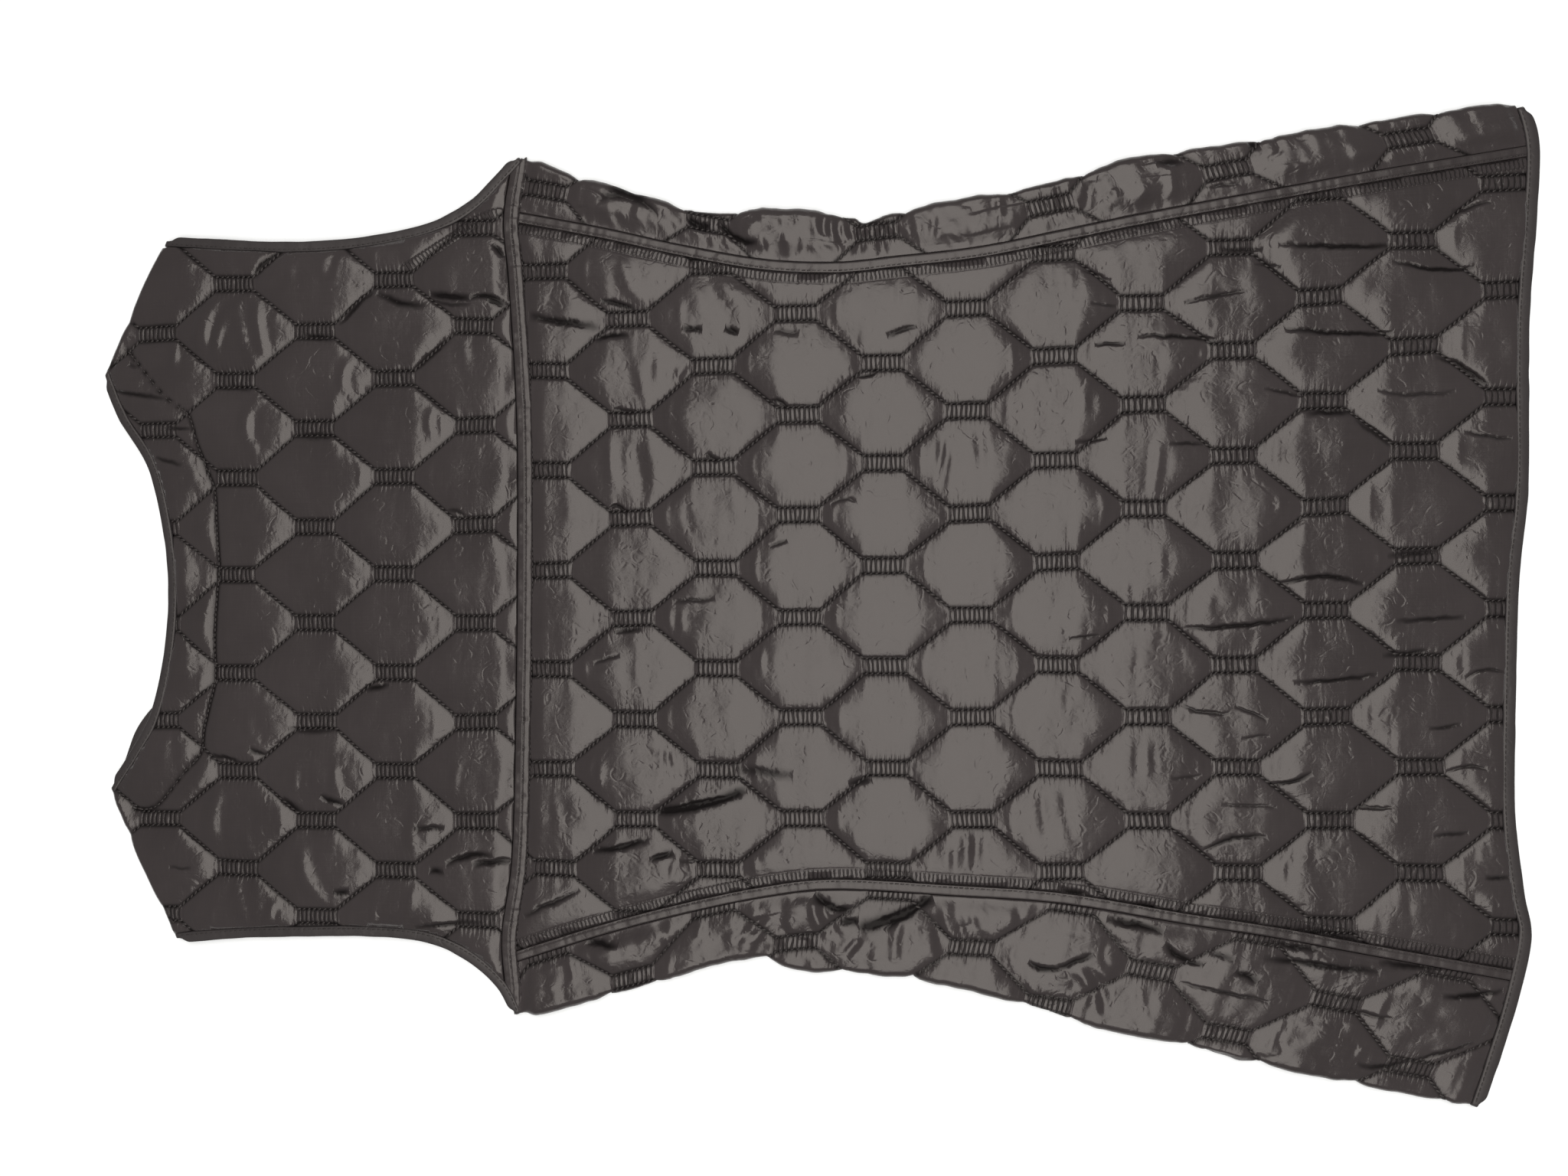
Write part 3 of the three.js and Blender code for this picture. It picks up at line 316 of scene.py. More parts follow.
class VestSizes(bpy.types.PropertyGroup):
    """Sizes of the quilting, the seams and the bindings"""

    column: length("Column", "From one column of bars to the next", 46.4)
    row: length("Row", "From one bar to the next in its column", 55.4)
    bar_length: length("Bar length", "Length of a gathered bar", 22.5)
    bar_width: length("Bar width", "Between the two stitch lines of a bar", 8)
    puff: length("Puff", "How far a cell stands above its stitches", 4.2)
    stitch: length("Stitch", "Length of one quilting stitch with its gap", 3.1)
    seam_stitch: length("Seam stitch", "Length of one seam stitch with its gap", 2.9)
    yoke_seam: length("Yoke seam", "Width of the felled seam below the yoke", 8.4)
    side_seam: length("Side seam", "Width of the folded band at the side-back seams", 5.6)
    neck_binding: length("Neck binding", "Width of the neck's binding", 5.3)
    armhole_binding: length("Armhole binding", "Width of the armholes' bindings", 6)
    hem_binding: length("Hem binding", "Width of the hem's binding", 6.6)
    binding_thickness: length("Binding thickness", "Thickness of a folded binding", 2)


class VestColours(bpy.types.PropertyGroup):
    """Colours of the cloth, the thread and the stage"""

    nylon: colour("Nylon", "Quilted nylon", (0.034, 0.0283, 0.028))
    binding: colour("Binding", "Folded binding", (0.029, 0.025, 0.025))
    thread: colour("Thread", "Sewing thread", (0.026, 0.022, 0.0215))
    floor: colour("Floor", "Pale studio floor", (0.86, 0.86, 0.85))


def in_mm(context):
    """The user's sizes as plain numbers in mm."""
    sizes = context.scene.vest_sizes
    return SimpleNamespace(**{name: getattr(sizes, name) / MM for name in VestSizes.__annotations__})


# ---------------------------------------------------------------- plane curves


def smooth(low, high, x):
    share = np.clip((x - low) / (high - low), 0, 1)
    return share * share * (3 - 2 * share)


def raised(plane, z):
    """Plane points or directions with a height."""
    return np.concatenate([plane, np.broadcast_to(z, plane.shape[:-1])[..., None]], axis=-1)


class Line:
    """A plane curve held as close points, measured along its length."""

    def __init__(self, points):
        self.points = np.asarray(points, float)
        steps = np.hypot(*np.diff(self.points, axis=0).T)
        self.along = np.concatenate(([0], np.cumsum(steps)))
        self.length = self.along[-1]

    def at(self, s):
        return np.stack([np.interp(s, self.along, self.points[:, c]) for c in (0, 1)], axis=-1)

    def tangent(self, s, reach=1.5):
        step = self.at(np.asarray(s) + reach) - self.at(np.asarray(s) - reach)
        return step / np.maximum(np.linalg.norm(step, axis=-1, keepdims=True), 1e-9)

    def left(self):
        """Directions to the left of travel, one for each point."""
        t = self.tangent(self.along)
        return np.stack([-t[:, 1], t[:, 0]], axis=1)

    def offset(self, distance):
        return Line(self.points + distance * self.left())

    def lengthened(self, distance):
        first, last = self.tangent([0.0, self.length])
        ends = self.points[0] - first * distance, self.points[-1] + last * distance
        return Line(np.concatenate([[ends[0]], self.points, [ends[1]]]))

    def part(self, start, end, step):
        count = max(2, round((end - start) / step))
        return Line(self.at(np.linspace(start, end, count + 1)))

    def spaced(self, step):
        return self.part(0, self.length, step)

    def nearest(self, x, y):
        """The distance to the curve, and how far along it the nearest place is."""
        best = np.full(np.shape(x), np.inf)
        where = np.zeros(np.shape(x))
        for i, (a, b) in enumerate(zip(self.points, self.points[1:])):
            d = b - a
            size = d @ d
            if size < 1e-12:
                continue
            share = np.clip(((x - a[0]) * d[0] + (y - a[1]) * d[1]) / size, 0, 1)
            away = np.hypot(x - a[0] - share * d[0], y - a[1] - share * d[1])
            closer = away < best
            best = np.where(closer, away, best)
            where = np.where(closer, self.along[i] + share * math.sqrt(size), where)
        return best, where

    def read(self, value, known, wanted):
        order = np.argsort(self.points[:, known])
        return np.interp(value, self.points[order, known], self.points[order, wanted])

    def x_at(self, y):
        return self.read(y, 1, 0)

    def y_at(self, x):
        return self.read(x, 0, 1)


def curve_through(rows, step=2.0):
    """A smooth curve through the rows of a table."""
    p = np.asarray(rows, float)
    padded = np.concatenate([p[:1], p, p[-1:]])
    made = [p[0]]
    for i in range(len(p) - 1):
        p0, p1, p2, p3 = padded[i : i + 4]
        t = np.linspace(0, 1, 25)[1:, None]
        v0, v1 = (p2 - p0) / 2, (p3 - p1) / 2
        made.extend(
            (2 * p1 - 2 * p2 + v0 + v1) * t**3 + (3 * p2 - 3 * p1 - 2 * v0 - v1) * t**2 + v0 * t + p1
        )
    return Line(made).spaced(step)


def side_lines(way, armhole, fold, seam, neck_point, **more):
    """The lines of one side of the vest. way is 1 on the right and -1 on the left."""
    armhole = curve_through(armhole)
    lines = {"armhole": armhole, "fold": curve_through(fold), "seam": curve_through(seam)}
    return {"way": way, **lines, "shoulder": Line([neck_point, armhole.points[0]]), **more}


neck = curve_through(NECK_EDGE)
hem = curve_through(HEM)
yoke_seam = curve_through(YOKE_SEAM)
facing = curve_through(FACING_STITCHES)
# quilt places the side panel's quilting, column is the side's column in SIDE_FRONT, and slant is how
# far the armhole's binding runs on at the shoulder for each mm of its width.
SIDES = {
    "right": side_lines(
        1, ARMHOLE_RIGHT, SIDE_RIGHT, SIDE_BACK_RIGHT, NECK_EDGE[0],
        quilt=(393.0, 17.5), front_neck=FRONT_NECK_RIGHT, column=1, slant=0.39, seed=31, flat_width=0.14,
    ),
    "left": side_lines(
        -1, ARMHOLE_LEFT, SIDE_LEFT, SIDE_BACK_LEFT, NECK_EDGE[-1],
        quilt=(396.0, 3.0), front_neck=FRONT_NECK_LEFT, column=2, slant=0.34, seed=47, flat_width=0.12,
    ),
}


def below_yoke_seam(mm):
    return yoke_seam.offset(mm.yoke_seam / 2 + GAP)


def above_hem_binding(mm):
    return hem.offset(-(mm.hem_binding + GAP))


def inside_armhole(side, mm):
    return side["armhole"].offset(-side["way"] * (mm.armhole_binding + GAP)).lengthened(30)


def inner(side):
    """Picks the place nearer to the middle of the back."""
    return np.minimum if side["way"] > 0 else np.maximum


# ---------------------------------------------------------------- uneven cloth


def chance(i, j, seed):
    """A number from 0 to 1 for a pair of whole numbers, always the same one."""
    wave = np.sin(i * 127.1 + j * 311.7 + seed * 74.7) * 43758.5453
    return wave - np.floor(wave)


def ripple(x, y, seed):
    """Smooth unevenness between -1 and 1, about one wave for each unit."""
    i, j = np.floor(x), np.floor(y)
    a, b = x - i, y - j
    a, b = a * a * a * (a * (a * 6 - 15) + 10), b * b * b * (b * (b * 6 - 15) + 10)
    low = chance(i, j, seed) * (1 - a) + chance(i + 1, j, seed) * a
    high = chance(i, j + 1, seed) * (1 - a) + chance(i + 1, j + 1, seed) * a
    return (low * (1 - b) + high * b) * 2 - 1


def turned(x, y, degrees):
    a = math.radians(degrees)
    return x * math.cos(a) + y * math.sin(a), y * math.cos(a) - x * math.sin(a)


def crumple(x, y, seed):
    """Soft dents of several sizes, in mm."""
    xa, ya = turned(x, y, 27)
    xb, yb = turned(x, y, -38)
    return (
        0.30 * ripple(xa / 19, ya / 13, seed)
        + 0.17 * ripple(xb / 9, yb / 6.5, seed + 1)
        + 0.07 * ripple(xa / 4.6, ya / 3.8, seed + 2)
    )


def sharp_creases(x, y, seed):
    """Thin hollows that wander along x, here and there, from 0 to 1."""
    wander = ripple(x / 17, y / 17, seed + 5) * 0.35
    field = ripple(x / 34, y / 8 + wander, seed + 6)
    there = smooth(0.05, 0.6, ripple(x / 30, y / 24, seed + 7))
    return np.exp(-((field / 0.09) ** 2)) * there


def placed_creases(x, y, table):
    """Creases listed in a table: each runs between two places, bowed to its left, and tapers out."""
    made = np.zeros(np.shape(x))
    for x0, y0, x1, y1, bow, width, lift in table:
        run = math.hypot(x1 - x0, y1 - y0)
        tx, ty = (x1 - x0) / run, (y1 - y0) / run
        share = ((x - x0) * tx + (y - y0) * ty) / run
        near = (share > -0.1) & (share < 1.1)
        s = np.clip(share[near], 0, 1)
        hump = 4 * s * (1 - s)
        beside = ((y[near] - y0) * tx - (x[near] - x0) * ty - bow * hump) / width
        # a hollow has a soft lip beside it
        shape = np.exp(-(beside**2)) - 0.35 * np.exp(-((np.abs(beside) - 2.1) ** 2))
        made[near] += lift * np.sqrt(hump) * shape
    return made


# ---------------------------------------------------------------- quilting


class Quilting:
    """Rows of puffs between wavering stitch lines that meet side by side at gathered bars. u runs
    along the rows and v across them, from the middle of a bar."""

    def __init__(self, mm, seed):
        self.column, self.half_row = mm.column, mm.row / 2
        self.bar, self.width = mm.bar_length, mm.bar_width
        self.puff, self.stitch, self.seed = mm.puff, mm.stitch, seed

    def wave(self, u):
        """1 along the bars of the even columns, -1 along those of the odd ones, straight between."""
        a = np.mod(u / self.column, 2)
        from_even = np.minimum(a, 2 - a) * self.column
        return 1 - 2 * np.clip((from_even - self.bar / 2) / (self.column - self.bar), 0, 1)

    def half(self, u, k):
        """Half the width of row k at u."""
        sign = np.where(np.mod(k, 2) == 0, 1, -1)
        reach = (self.half_row - self.width) / 2
        return self.half_row / 2 - sign * reach * self.wave(u)

    def line_at(self, u, k):
        """v of the stitch line above row k."""
        return k * self.half_row + self.half(u, k)

    def drawn(self, u, k):
        """The size of the stitches of a line: those along a gathered bar sink in."""
        rise = np.abs(self.line_at(u + 0.5, k) - self.line_at(u - 0.5, k))
        return 1 - 0.32 * (1 - smooth(0.1, 0.35, rise))

    def row_of(self, u, v):
        k = np.round(v / self.half_row)
        away = v - k * self.half_row
        return np.where(np.abs(away) <= self.half(u, k) + 1e-9, k, k + np.sign(away))

    def from_column(self, u, odd):
        """The nearest even column, or odd one, and how far u is from it."""
        column = np.round((u / self.column - odd) / 2) * 2 + odd
        return column, u - column * self.column

    def relief(self, u, v):
        """Height over the stitches, the distance to the nearest stitch line, and how much
        the cloth is gathered there, from 0 to 1."""
        k = self.row_of(u, v)
        half = self.half(u, k)
        t = np.clip((v - k * self.half_row) / half, -1, 1)
        beside = (1 - np.abs(t)) * half
        opened = (half - self.width / 2) / (self.half_row - self.width)
        cell, du = self.from_column(u, np.mod(k + 1, 2))
        lift = 1 - 0.22 * chance(cell, k, self.seed)
        lean = 1 + 0.3 * (chance(cell, k, self.seed + 1) - 0.5) * du / 30
        lean += 0.4 * (chance(cell, k, self.seed + 2) - 0.5) * t
        crown = np.power(np.clip(1 - np.abs(t) ** 1.9, 0, 1), 0.62)
        run = np.power(np.clip(1 - (1 - opened) ** 2.0, 0, 1), 0.75)
        height = self.puff * lift * lean * crown * run
        # a small upright fold at a cell's end, as the bar beside it draws the cloth in
        for way, share in ((-1, 0.65), (1, 0.35)):
            shown = chance(cell, k, self.seed + 10 + way) < share
            where = way * (24 + 4 * chance(cell, k, self.seed + 13 + way)) - 2.5 * way * t * t
            height += 0.4 * shown * np.exp(-(((du - where) / 1.5) ** 2)) * np.clip(1 - t * t * 1.4, 0, 1)
        # the gathers of a bar
        _, bar = self.from_column(u, np.mod(k, 2))
        inside = smooth(self.bar / 2 + 2.5, self.bar / 2 - 1.5, np.abs(bar))
        height += 0.7 * inside * (1 - t**6) ** 0.6
        # small tucks that the stitches pull into the cloth on both sides
        tuck = ripple((u + 0.35 * beside) / 2.3, k * 3.7, self.seed + 4)
        tuck += 0.6 * ripple((u - 0.5 * beside) / 4.4, k * 5.1, self.seed + 5)
        height += 0.24 * tuck * np.exp(-beside / 4.5) * (1 - np.exp(-beside / 0.7)) * (1 - inside)
        outside = smooth(self.bar / 2 + 1.5, self.bar / 2 - 1.5, np.abs(du)) * np.exp(-beside / 1.7)
        return height, beside, np.maximum(inside, 0.9 * outside * chance(cell, k, self.seed + 6))

    def columns(self, low, high):
        """Places along u: the gathers' crests and hollows, and even steps between the bars."""
        first, last = math.floor(low / self.column) - 1, math.ceil(high / self.column) + 1
        along_bar = np.linspace(-self.bar / 2, self.bar / 2, 17)[:-1]
        between = np.linspace(self.bar / 2, self.column - self.bar / 2, 18)[:-1]
        step = np.concatenate([along_bar, between])
        return np.concatenate([i * self.column + step for i in range(first, last + 1)])

    def lines(self, low, high):
        return np.arange(math.floor(low / self.half_row) - 1, math.ceil(high / self.half_row) + 2)


# Places across a row, from one stitch line to the other.
ROW_STEPS = [-1, -0.965, -0.9, -0.79, -0.64, -0.45, -0.23, 0, 0.23, 0.45, 0.64, 0.79, 0.9, 0.965]


def settled(puff, loose, beside, full):
    """The height of a puff and of its loose wrinkles, which a seam beside it presses flat, as
    full falls to 0, and the stitches hold down."""
    free = 1 - np.exp(-beside / 2.6)
    return puff * (0.12 + 0.88 * full), loose * free * (0.25 + 0.75 * full)


# ---------------------------------------------------------------- meshes


def mesh_piece(name, points, cloth, faces, material):
    """A new piece from points in mm. cloth gives each point's place on the flat cloth in mm. On
    quilted cloth follow its distance to the stitches in mm and how much it is gathered, and beside
    a seam its place along and across the seam's ladder of stitches, in mm."""
    mesh = bpy.data.meshes.new(name)
    mesh.from_pydata((np.asarray(points, float) * MM).tolist(), [], faces)
    mesh.validate()
    corners = np.empty(len(mesh.loops), dtype=np.int32)
    mesh.loops.foreach_get("vertex_index", corners)
    for label, first, unit in (("cloth", 0, MM), ("stitched", 2, 1), ("ladder", 4, 1)):
        if cloth.shape[1] > first:
            layer = mesh.uv_layers.new(name=label)
            layer.data.foreach_set("uv", (cloth[corners, first : first + 2] * unit).ravel())
    mesh.shade_smooth()
    mesh.materials.append(material)
    piece = bpy.data.objects.new(name, mesh)
    bpy.context.scene.collection.objects.link(piece)
    return piece


def clean_faces(faces):
    """Faces without repeated corners, and none that has shrunk to a line."""
    made = []
    for face in faces:
        kept = [a for i, a in enumerate(face) if a != face[i - 1]]
        if len(kept) >= 3 and len(set(kept)) == len(kept):
            made.append(tuple(kept))
    return made


def merged(points, cloth, faces, keys):
    """Joins the points whose keys round to the same whole numbers."""
    keys = np.round(keys).astype(np.int64)
    _, first, back = np.unique(keys, axis=0, return_index=True, return_inverse=True)
    back = back.ravel().tolist()
    return points[first], cloth[first], clean_faces([back[corner] for corner in face] for face in faces)


def grid_surface(points, cloth, faces):
    """A surface from grids of points and marks, its points joined where they lie together in plan."""
    points = points.reshape(-1, 3)
    return merged(points, cloth.reshape(len(points), -1), faces, points[:, :2] / PLAN_WELD)


def trim(grid, measure, axis):
    """Pulls the points outside an outline back to where their grid line leaves it.
    grid holds x and y first. measure(x, y) is positive inside."""
    g = np.moveaxis(grid, axis, 0).copy()
    f = measure(g[..., 0], g[..., 1])
    count = g.shape[0]
    inside = f > 0
    some = inside.any(axis=0)
    first = inside.argmax(axis=0)
    last = count - 1 - inside[::-1].argmax(axis=0)
    rows = np.arange(count)[:, None]
    lines = np.arange(g.shape[1])
    for kept, out, beyond in (
        (first, np.maximum(first - 1, 0), rows < first),
        (last, np.minimum(last + 1, count - 1), rows > last),
    ):
        f_in, f_out = f[kept, lines], f[out, lines]
        share = np.where(f_in - f_out > 1e-9, f_in / np.maximum(f_in - f_out, 1e-9), 0)[:, None]
        crossing = g[kept, lines] * (1 - share) + g[out, lines] * share
        moved = beyond & some
        g = np.where(moved[..., None], crossing[None], g)
    return np.moveaxis(g, 0, axis)


def grid_faces(rows, columns, around=False, closed=False):
    """Faces of a grid of points, row by row. around joins the last column to the first, and
    closed the last row to the first."""
    i = np.arange(rows if closed else rows - 1)[:, None]
    j = np.arange(columns if around else columns - 1)[None]
    here, below, after = i * columns, (i + 1) % rows * columns, (j + 1) % columns
    return np.stack([here + j, below + j, below + after, here + after], axis=-1).reshape(-1, 4)


def outer_loops(faces):
    """The open edges of a surface as closed runs of corners, with the surface on their left."""
    edges = {(face[i - 1], b) for face in faces for i, b in enumerate(face)}
    following = {a: b for a, b in edges if (b, a) not in edges}
    loops = []
    while following:
        start, nxt = following.popitem()
        loop = [start]
        while nxt != start and nxt in following:
            loop.append(nxt)
            nxt = following.pop(nxt)
        loops.append(loop)
    return loops


def cap(plane, corners):
    """Triangles that close a loop, from its corners' places in a plane."""
    flat = [(x, y, 0.0) for x, y in plane]
    return [[corners[n] for n in triangle] for triangle in tessellate_polygon([flat])]


def closed_shell(surface, rings):
    """Carries a surface's open edge down through rings and closes it underneath.
    rings is a list of functions from the edge's points to their next places."""
    points, cloth, faces = (list(part) for part in surface)
    for loop in outer_loops(faces):
        edge = np.array([points[i] for i in loop])
        above = loop
        for ring in rings:
            below = list(range(len(points), len(points) + len(loop)))
            points.extend(ring(edge))
            cloth.extend([cloth[i] for i in loop])
            faces.extend(zip(above, below, below[1:] + below[:1], above[1:] + above[:1]))
            above = below
        faces.extend(cap([points[i][:2] for i in above], above))
    points = np.array(points)
    return merged(points, np.array(cloth), faces, points / WELD)


def tube(name, rings, cloth, material, closed=False):
    """A closed skin through rings of points, with its ends closed."""
    count, around = rings.shape[:2]
    points = rings.reshape(-1, 3)
    faces = grid_faces(count, around, True, closed).tolist()
    for start in () if closed else (0, (count - 1) * around):
        ring = points[start : start + around]
        spread = ring - ring.mean(axis=0)
        axes = np.linalg.svd(spread)[2][:2]
        faces.extend(cap([axes @ place for place in spread], range(start, start + around)))
    skin = merged(points, cloth.reshape(len(points), -1), faces, points / WELD)
    return closed_skin(name, *skin, material)


def closed_skin(name, points, cloth, faces, material):
    """A piece without the slits that joined points leave in a skin, all its faces outwards."""
    piece = mesh_piece(name, points, cloth, faces, material)
    skin = bmesh.new()
    skin.from_mesh(piece.data)
    bmesh.ops.holes_fill(skin, edges=skin.edges, sides=0)
    bmesh.ops.recalc_face_normals(skin, faces=skin.faces)
    skin.to_mesh(piece.data)
    skin.free()
    return piece


# A stitch is a thread with six sides: places along it, and how full it is there.
BEAD_RINGS = [(-0.33, 0.78), (0.0, 1.0), (0.33, 0.78)]
BEAD_UNEVEN = 0.12


def bead_shape():
    """Points and faces of a stitch of length, width and height 1."""
    angles = np.arange(6) * math.pi / 3
    points = [(-0.5, 0.0, 0.0)]
    for x, full in BEAD_RINGS:
        points += [(x, full * math.cos(a) / 2, full * math.sin(a) / 2) for a in angles]
    points.append((0.5, 0.0, 0.0))
    faces = [(0, 1 + (k + 1) % 6, 1 + k) for k in range(6)]
    for a, b in ((1, 7), (7, 13)):
        faces += [(a + k, a + (k + 1) % 6, b + (k + 1) % 6, b + k) for k in range(6)]
    faces += [(13 + k, 13 + (k + 1) % 6, 19) for k in range(6)]
    return np.array(points), faces


def beads(name, places, along, size, up=(0.0, 0.0, 1.0), slant=0, seed=1, share=1.0):
    """Many small rounded stitches as one mesh, turned aslant by some degrees."""
    if along.shape[1] == 2:
        along = raised(along, 0.0)
    slant = math.radians(slant)
    along = along * math.cos(slant) + np.cross(up, along) * math.sin(slant)
    across = np.cross(up, along)
    across /= np.linalg.norm(across, axis=1, keepdims=True)
    shape, faces = bead_shape()
    count = len(places)
    scale = (1 + BEAD_UNEVEN * (2 * chance(np.arange(count), 3, seed) - 1)) * share
    local = shape[None] * np.asarray(size, float)[None, None] * scale[:, None, None]
    points = places[:, None] + local[..., :1] * along[:, None] + local[..., 1:2] * across[:, None]
    points = points + local[..., 2:] * np.broadcast_to(up, along.shape)[:, None]
    starts = range(0, count * len(shape), len(shape))
    faces = [tuple(start + corner for corner in face) for start in starts for face in faces]
    points = points.reshape(-1, 3)
    return mesh_piece(name, points, points[:, :2], faces, thread())


# ---------------------------------------------------------------- shader nodes


class Value:
    """A socket in a shader's tree that ordinary arithmetic goes on from."""

    def __init__(self, socket):
        self.socket, self.tree = socket, socket.id_data

    def __add__(self, other):
        return maths("ADD", self, other)

    def __sub__(self, other):
        return maths("SUBTRACT", self, other)

    def __rsub__(self, other):
        return maths("SUBTRACT", other, self)

    def __mul__(self, other):
        return maths("MULTIPLY", self, other)

    def __truediv__(self, other):
        return maths("DIVIDE", self, other)

    def __pow__(self, other):
        return maths("POWER", self, other)

    def __rpow__(self, other):
        return maths("POWER", other, self)

    def __abs__(self):
        return maths("ABSOLUTE", self)


def connect(value, socket):
    """Links a value to a socket, or sets the socket to a plain number or colour."""
    if isinstance(value, Value):
        socket.id_data.links.new(value.socket, socket)
    else:
        socket.default_value = value


def add_node(tree, kind, *values, **named):
    """A new shader node's outputs. Its inputs are given in their order or by their names."""
    made = tree.nodes.new("ShaderNode" + kind)
    for value, socket in zip(values, made.inputs):
        connect(value, socket)
    for name, value in named.items():
        connect(value, made.inputs[name.replace("_", " ")])
    return made.outputs


def with_setting(output, name, value):
    setattr(output.node, name, value)
    return Value(output)


def maths(operation, first, second=0.0):
    tree = (first if isinstance(first, Value) else second).tree
    return with_setting(add_node(tree, "Math", first, second)[0], "operation", operation)


def vector_maths(operation, first, *others):
    """Some arithmetic with vectors. A dot product gives a number."""
    outputs = add_node(first.tree, "VectorMath", first, *others)
    return with_setting(outputs[1 if operation == "DOT_PRODUCT" else 0], "operation", operation)


def noise(place, scale, detail, stretch=None, output="Fac", **more):
    """Noise at places in metres. stretch scales their axes first."""
    if stretch:
        place = Value(add_node(place.tree, "Mapping", Vector=place, Scale=stretch)[0])
    made = add_node(place.tree, "TexNoise", Vector=place, Scale=scale, Detail=detail, **more)
    return Value(made[output])


def ramp(value, interpolation="LINEAR", **ends):
    made = add_node(value.tree, "MapRange", Value=value, **ends)[0]
    return with_setting(made, "interpolation_type", interpolation)


def parts_of(vector):
    return [Value(part) for part in add_node(vector.tree, "SeparateXYZ", Vector=vector)]


def mixed(share, first, second):
    """A colour between two others."""
    made = share.tree.nodes.new("ShaderNodeMix")
    made.data_type = "RGBA"
    for name, value in (("Factor", share), ("A", first), ("B", second)):
        connect(value, made.inputs[name])
    return Value(made.outputs["Result"])


def surface_map(tree, name):
    """Places from one of the maps that the meshes carry."""
    made = tree.nodes.new("ShaderNodeUVMap")
    made.uv_map = name
    return Value(made.outputs[0])


def object_place(tree):
    return Value(tree.nodes.new("ShaderNodeTexCoord").outputs["Object"])


EFFECTS = {}


def effect_group(label, outputs, **inputs):
    """Keeps a function that fills a shader group. An input without a number is a vector."""

    def keep(build):
        EFFECTS[label] = (inputs, outputs, build)
        return build

    return keep


def make_group(label):
    inputs, outputs, build = EFFECTS[label]
    tree = bpy.data.node_groups.new(label, "ShaderNodeTree")
    for name, default in inputs.items():
        kind = "NodeSocketVector" if default is None else "NodeSocketFloat"
        socket = tree.interface.new_socket(name.replace("_", " "), in_out="INPUT", socket_type=kind)
        if default is not None:
            socket.default_value = default
    for name in outputs:
        tree.interface.new_socket(name, in_out="OUTPUT", socket_type="NodeSocketFloat")
    given = list(tree.nodes.new("NodeGroupInput").outputs)[: len(inputs)]
    results = build(*(Value(socket) for socket in given))
    for value, socket in zip(results, tree.nodes.new("NodeGroupOutput").inputs):
        connect(value, socket)
    return tree


def effect(tree, label, **given):
    """The outputs of a shader group's node."""
    made = tree.nodes.new("ShaderNodeGroup")
    made.node_tree = bpy.data.node_groups.get(label) or make_group(label)
    for name, value in given.items():
        connect(value, made.inputs[name])
    return [Value(output) for output in made.outputs]


# ---------------------------------------------------------------- shader groups


@effect_group("Woven threads", ["Height", "Tone"], Vector=None, Threads=2200.0, Slubs=0.5)
def woven_threads(place, threads, slubs):
    """Threads over and under each other, with a few thicker ones."""
    over, under = (
        with_setting(add_node(place.tree, "TexWave", Vector=place, Scale=threads)["Fac"],
                     "bands_direction", direction)
        for direction in ("X", "Y")
    )
    streaks = [noise(place, 1.0, 2.0, stretch) for stretch in ((60.0, 1500.0, 60.0), (1500.0, 60.0, 60.0))]
    slub = (streaks[0] + streaks[1]) * slubs
    return over * under + slub, slub


@effect_group("Small rumples", ["Height"], Vector=None, Size=1.0, Fine=0.08, Dents=0.7)
def small_rumples(place, size, fine, dents):
    """Small soft rumples in thin cloth, of three sizes, with a sparse deeper dent."""
    large, middle, small = (
        noise(place, size * scale, 2.5, Roughness=0.5, Distortion=distortion) * share
        for scale, share, distortion in ((70.0, 1.0, 0.8), (190.0, 0.75, 1.1), (430.0, fine, 1.5))
    )
    deep = ramp(noise(place, 115.0, 1.0, Distortion=1.5), "SMOOTHSTEP", From_Min=0.56, From_Max=0.82)
    return [large + middle + small - deep * dents]


@effect_group("Handled patches", ["Mask"], Vector=None, Scale=16.0)
def handled_patches(place, scale):
    """Slow changes over the surface, from 0 to 1, such as handling leaves."""
    return [ramp(noise(place, scale, 4.0, Roughness=0.6), From_Min=0.3, From_Max=0.7)]


@effect_group("Gathered stitches", ["Height", "Painted shade"],
              Vector=None, Beside=5.0, Gathered=0.0, Pitch=0.0028, Round=0.1)
def gathered_stitches(place, beside, gathered, pitch, roundness):
    """Folds across gathered bars, and small tucks beside the stitches, with painted shade along the
    stitch lines and in the bars' hollows. Beside is in mm.
    """
    uneven = noise(place, 1.0, 1.5, (300.0, 110.0, 1.0))
    turns = parts_of(place)[0] / pitch * math.tau + uneven * 4.5
    crest = ramp(maths("SINE", turns), "SMOOTHSTEP", From_Min=-1.0, From_Max=roundness)
    near = maths("EXPONENT", beside * -0.3)
    tuck = noise(place, 1.0, 2.0, (430.0, 75.0, 1.0)) * (near * 0.5)
    frill = noise(place, 330.0, 1.5) * (near * 0.38)
    # painted shade along the stitch lines, where the cloth dips into their furrows, and in the hollows
    # between a bar's gathers
    furrow = maths("EXPONENT", beside * beside * -0.5)
    hollow_shade = (1.0 - crest) ** 2.0 * (gathered * 0.8)
    return crest * (gathered * 0.42) + (tuck + frill), maths("MAXIMUM", furrow, hollow_shade)


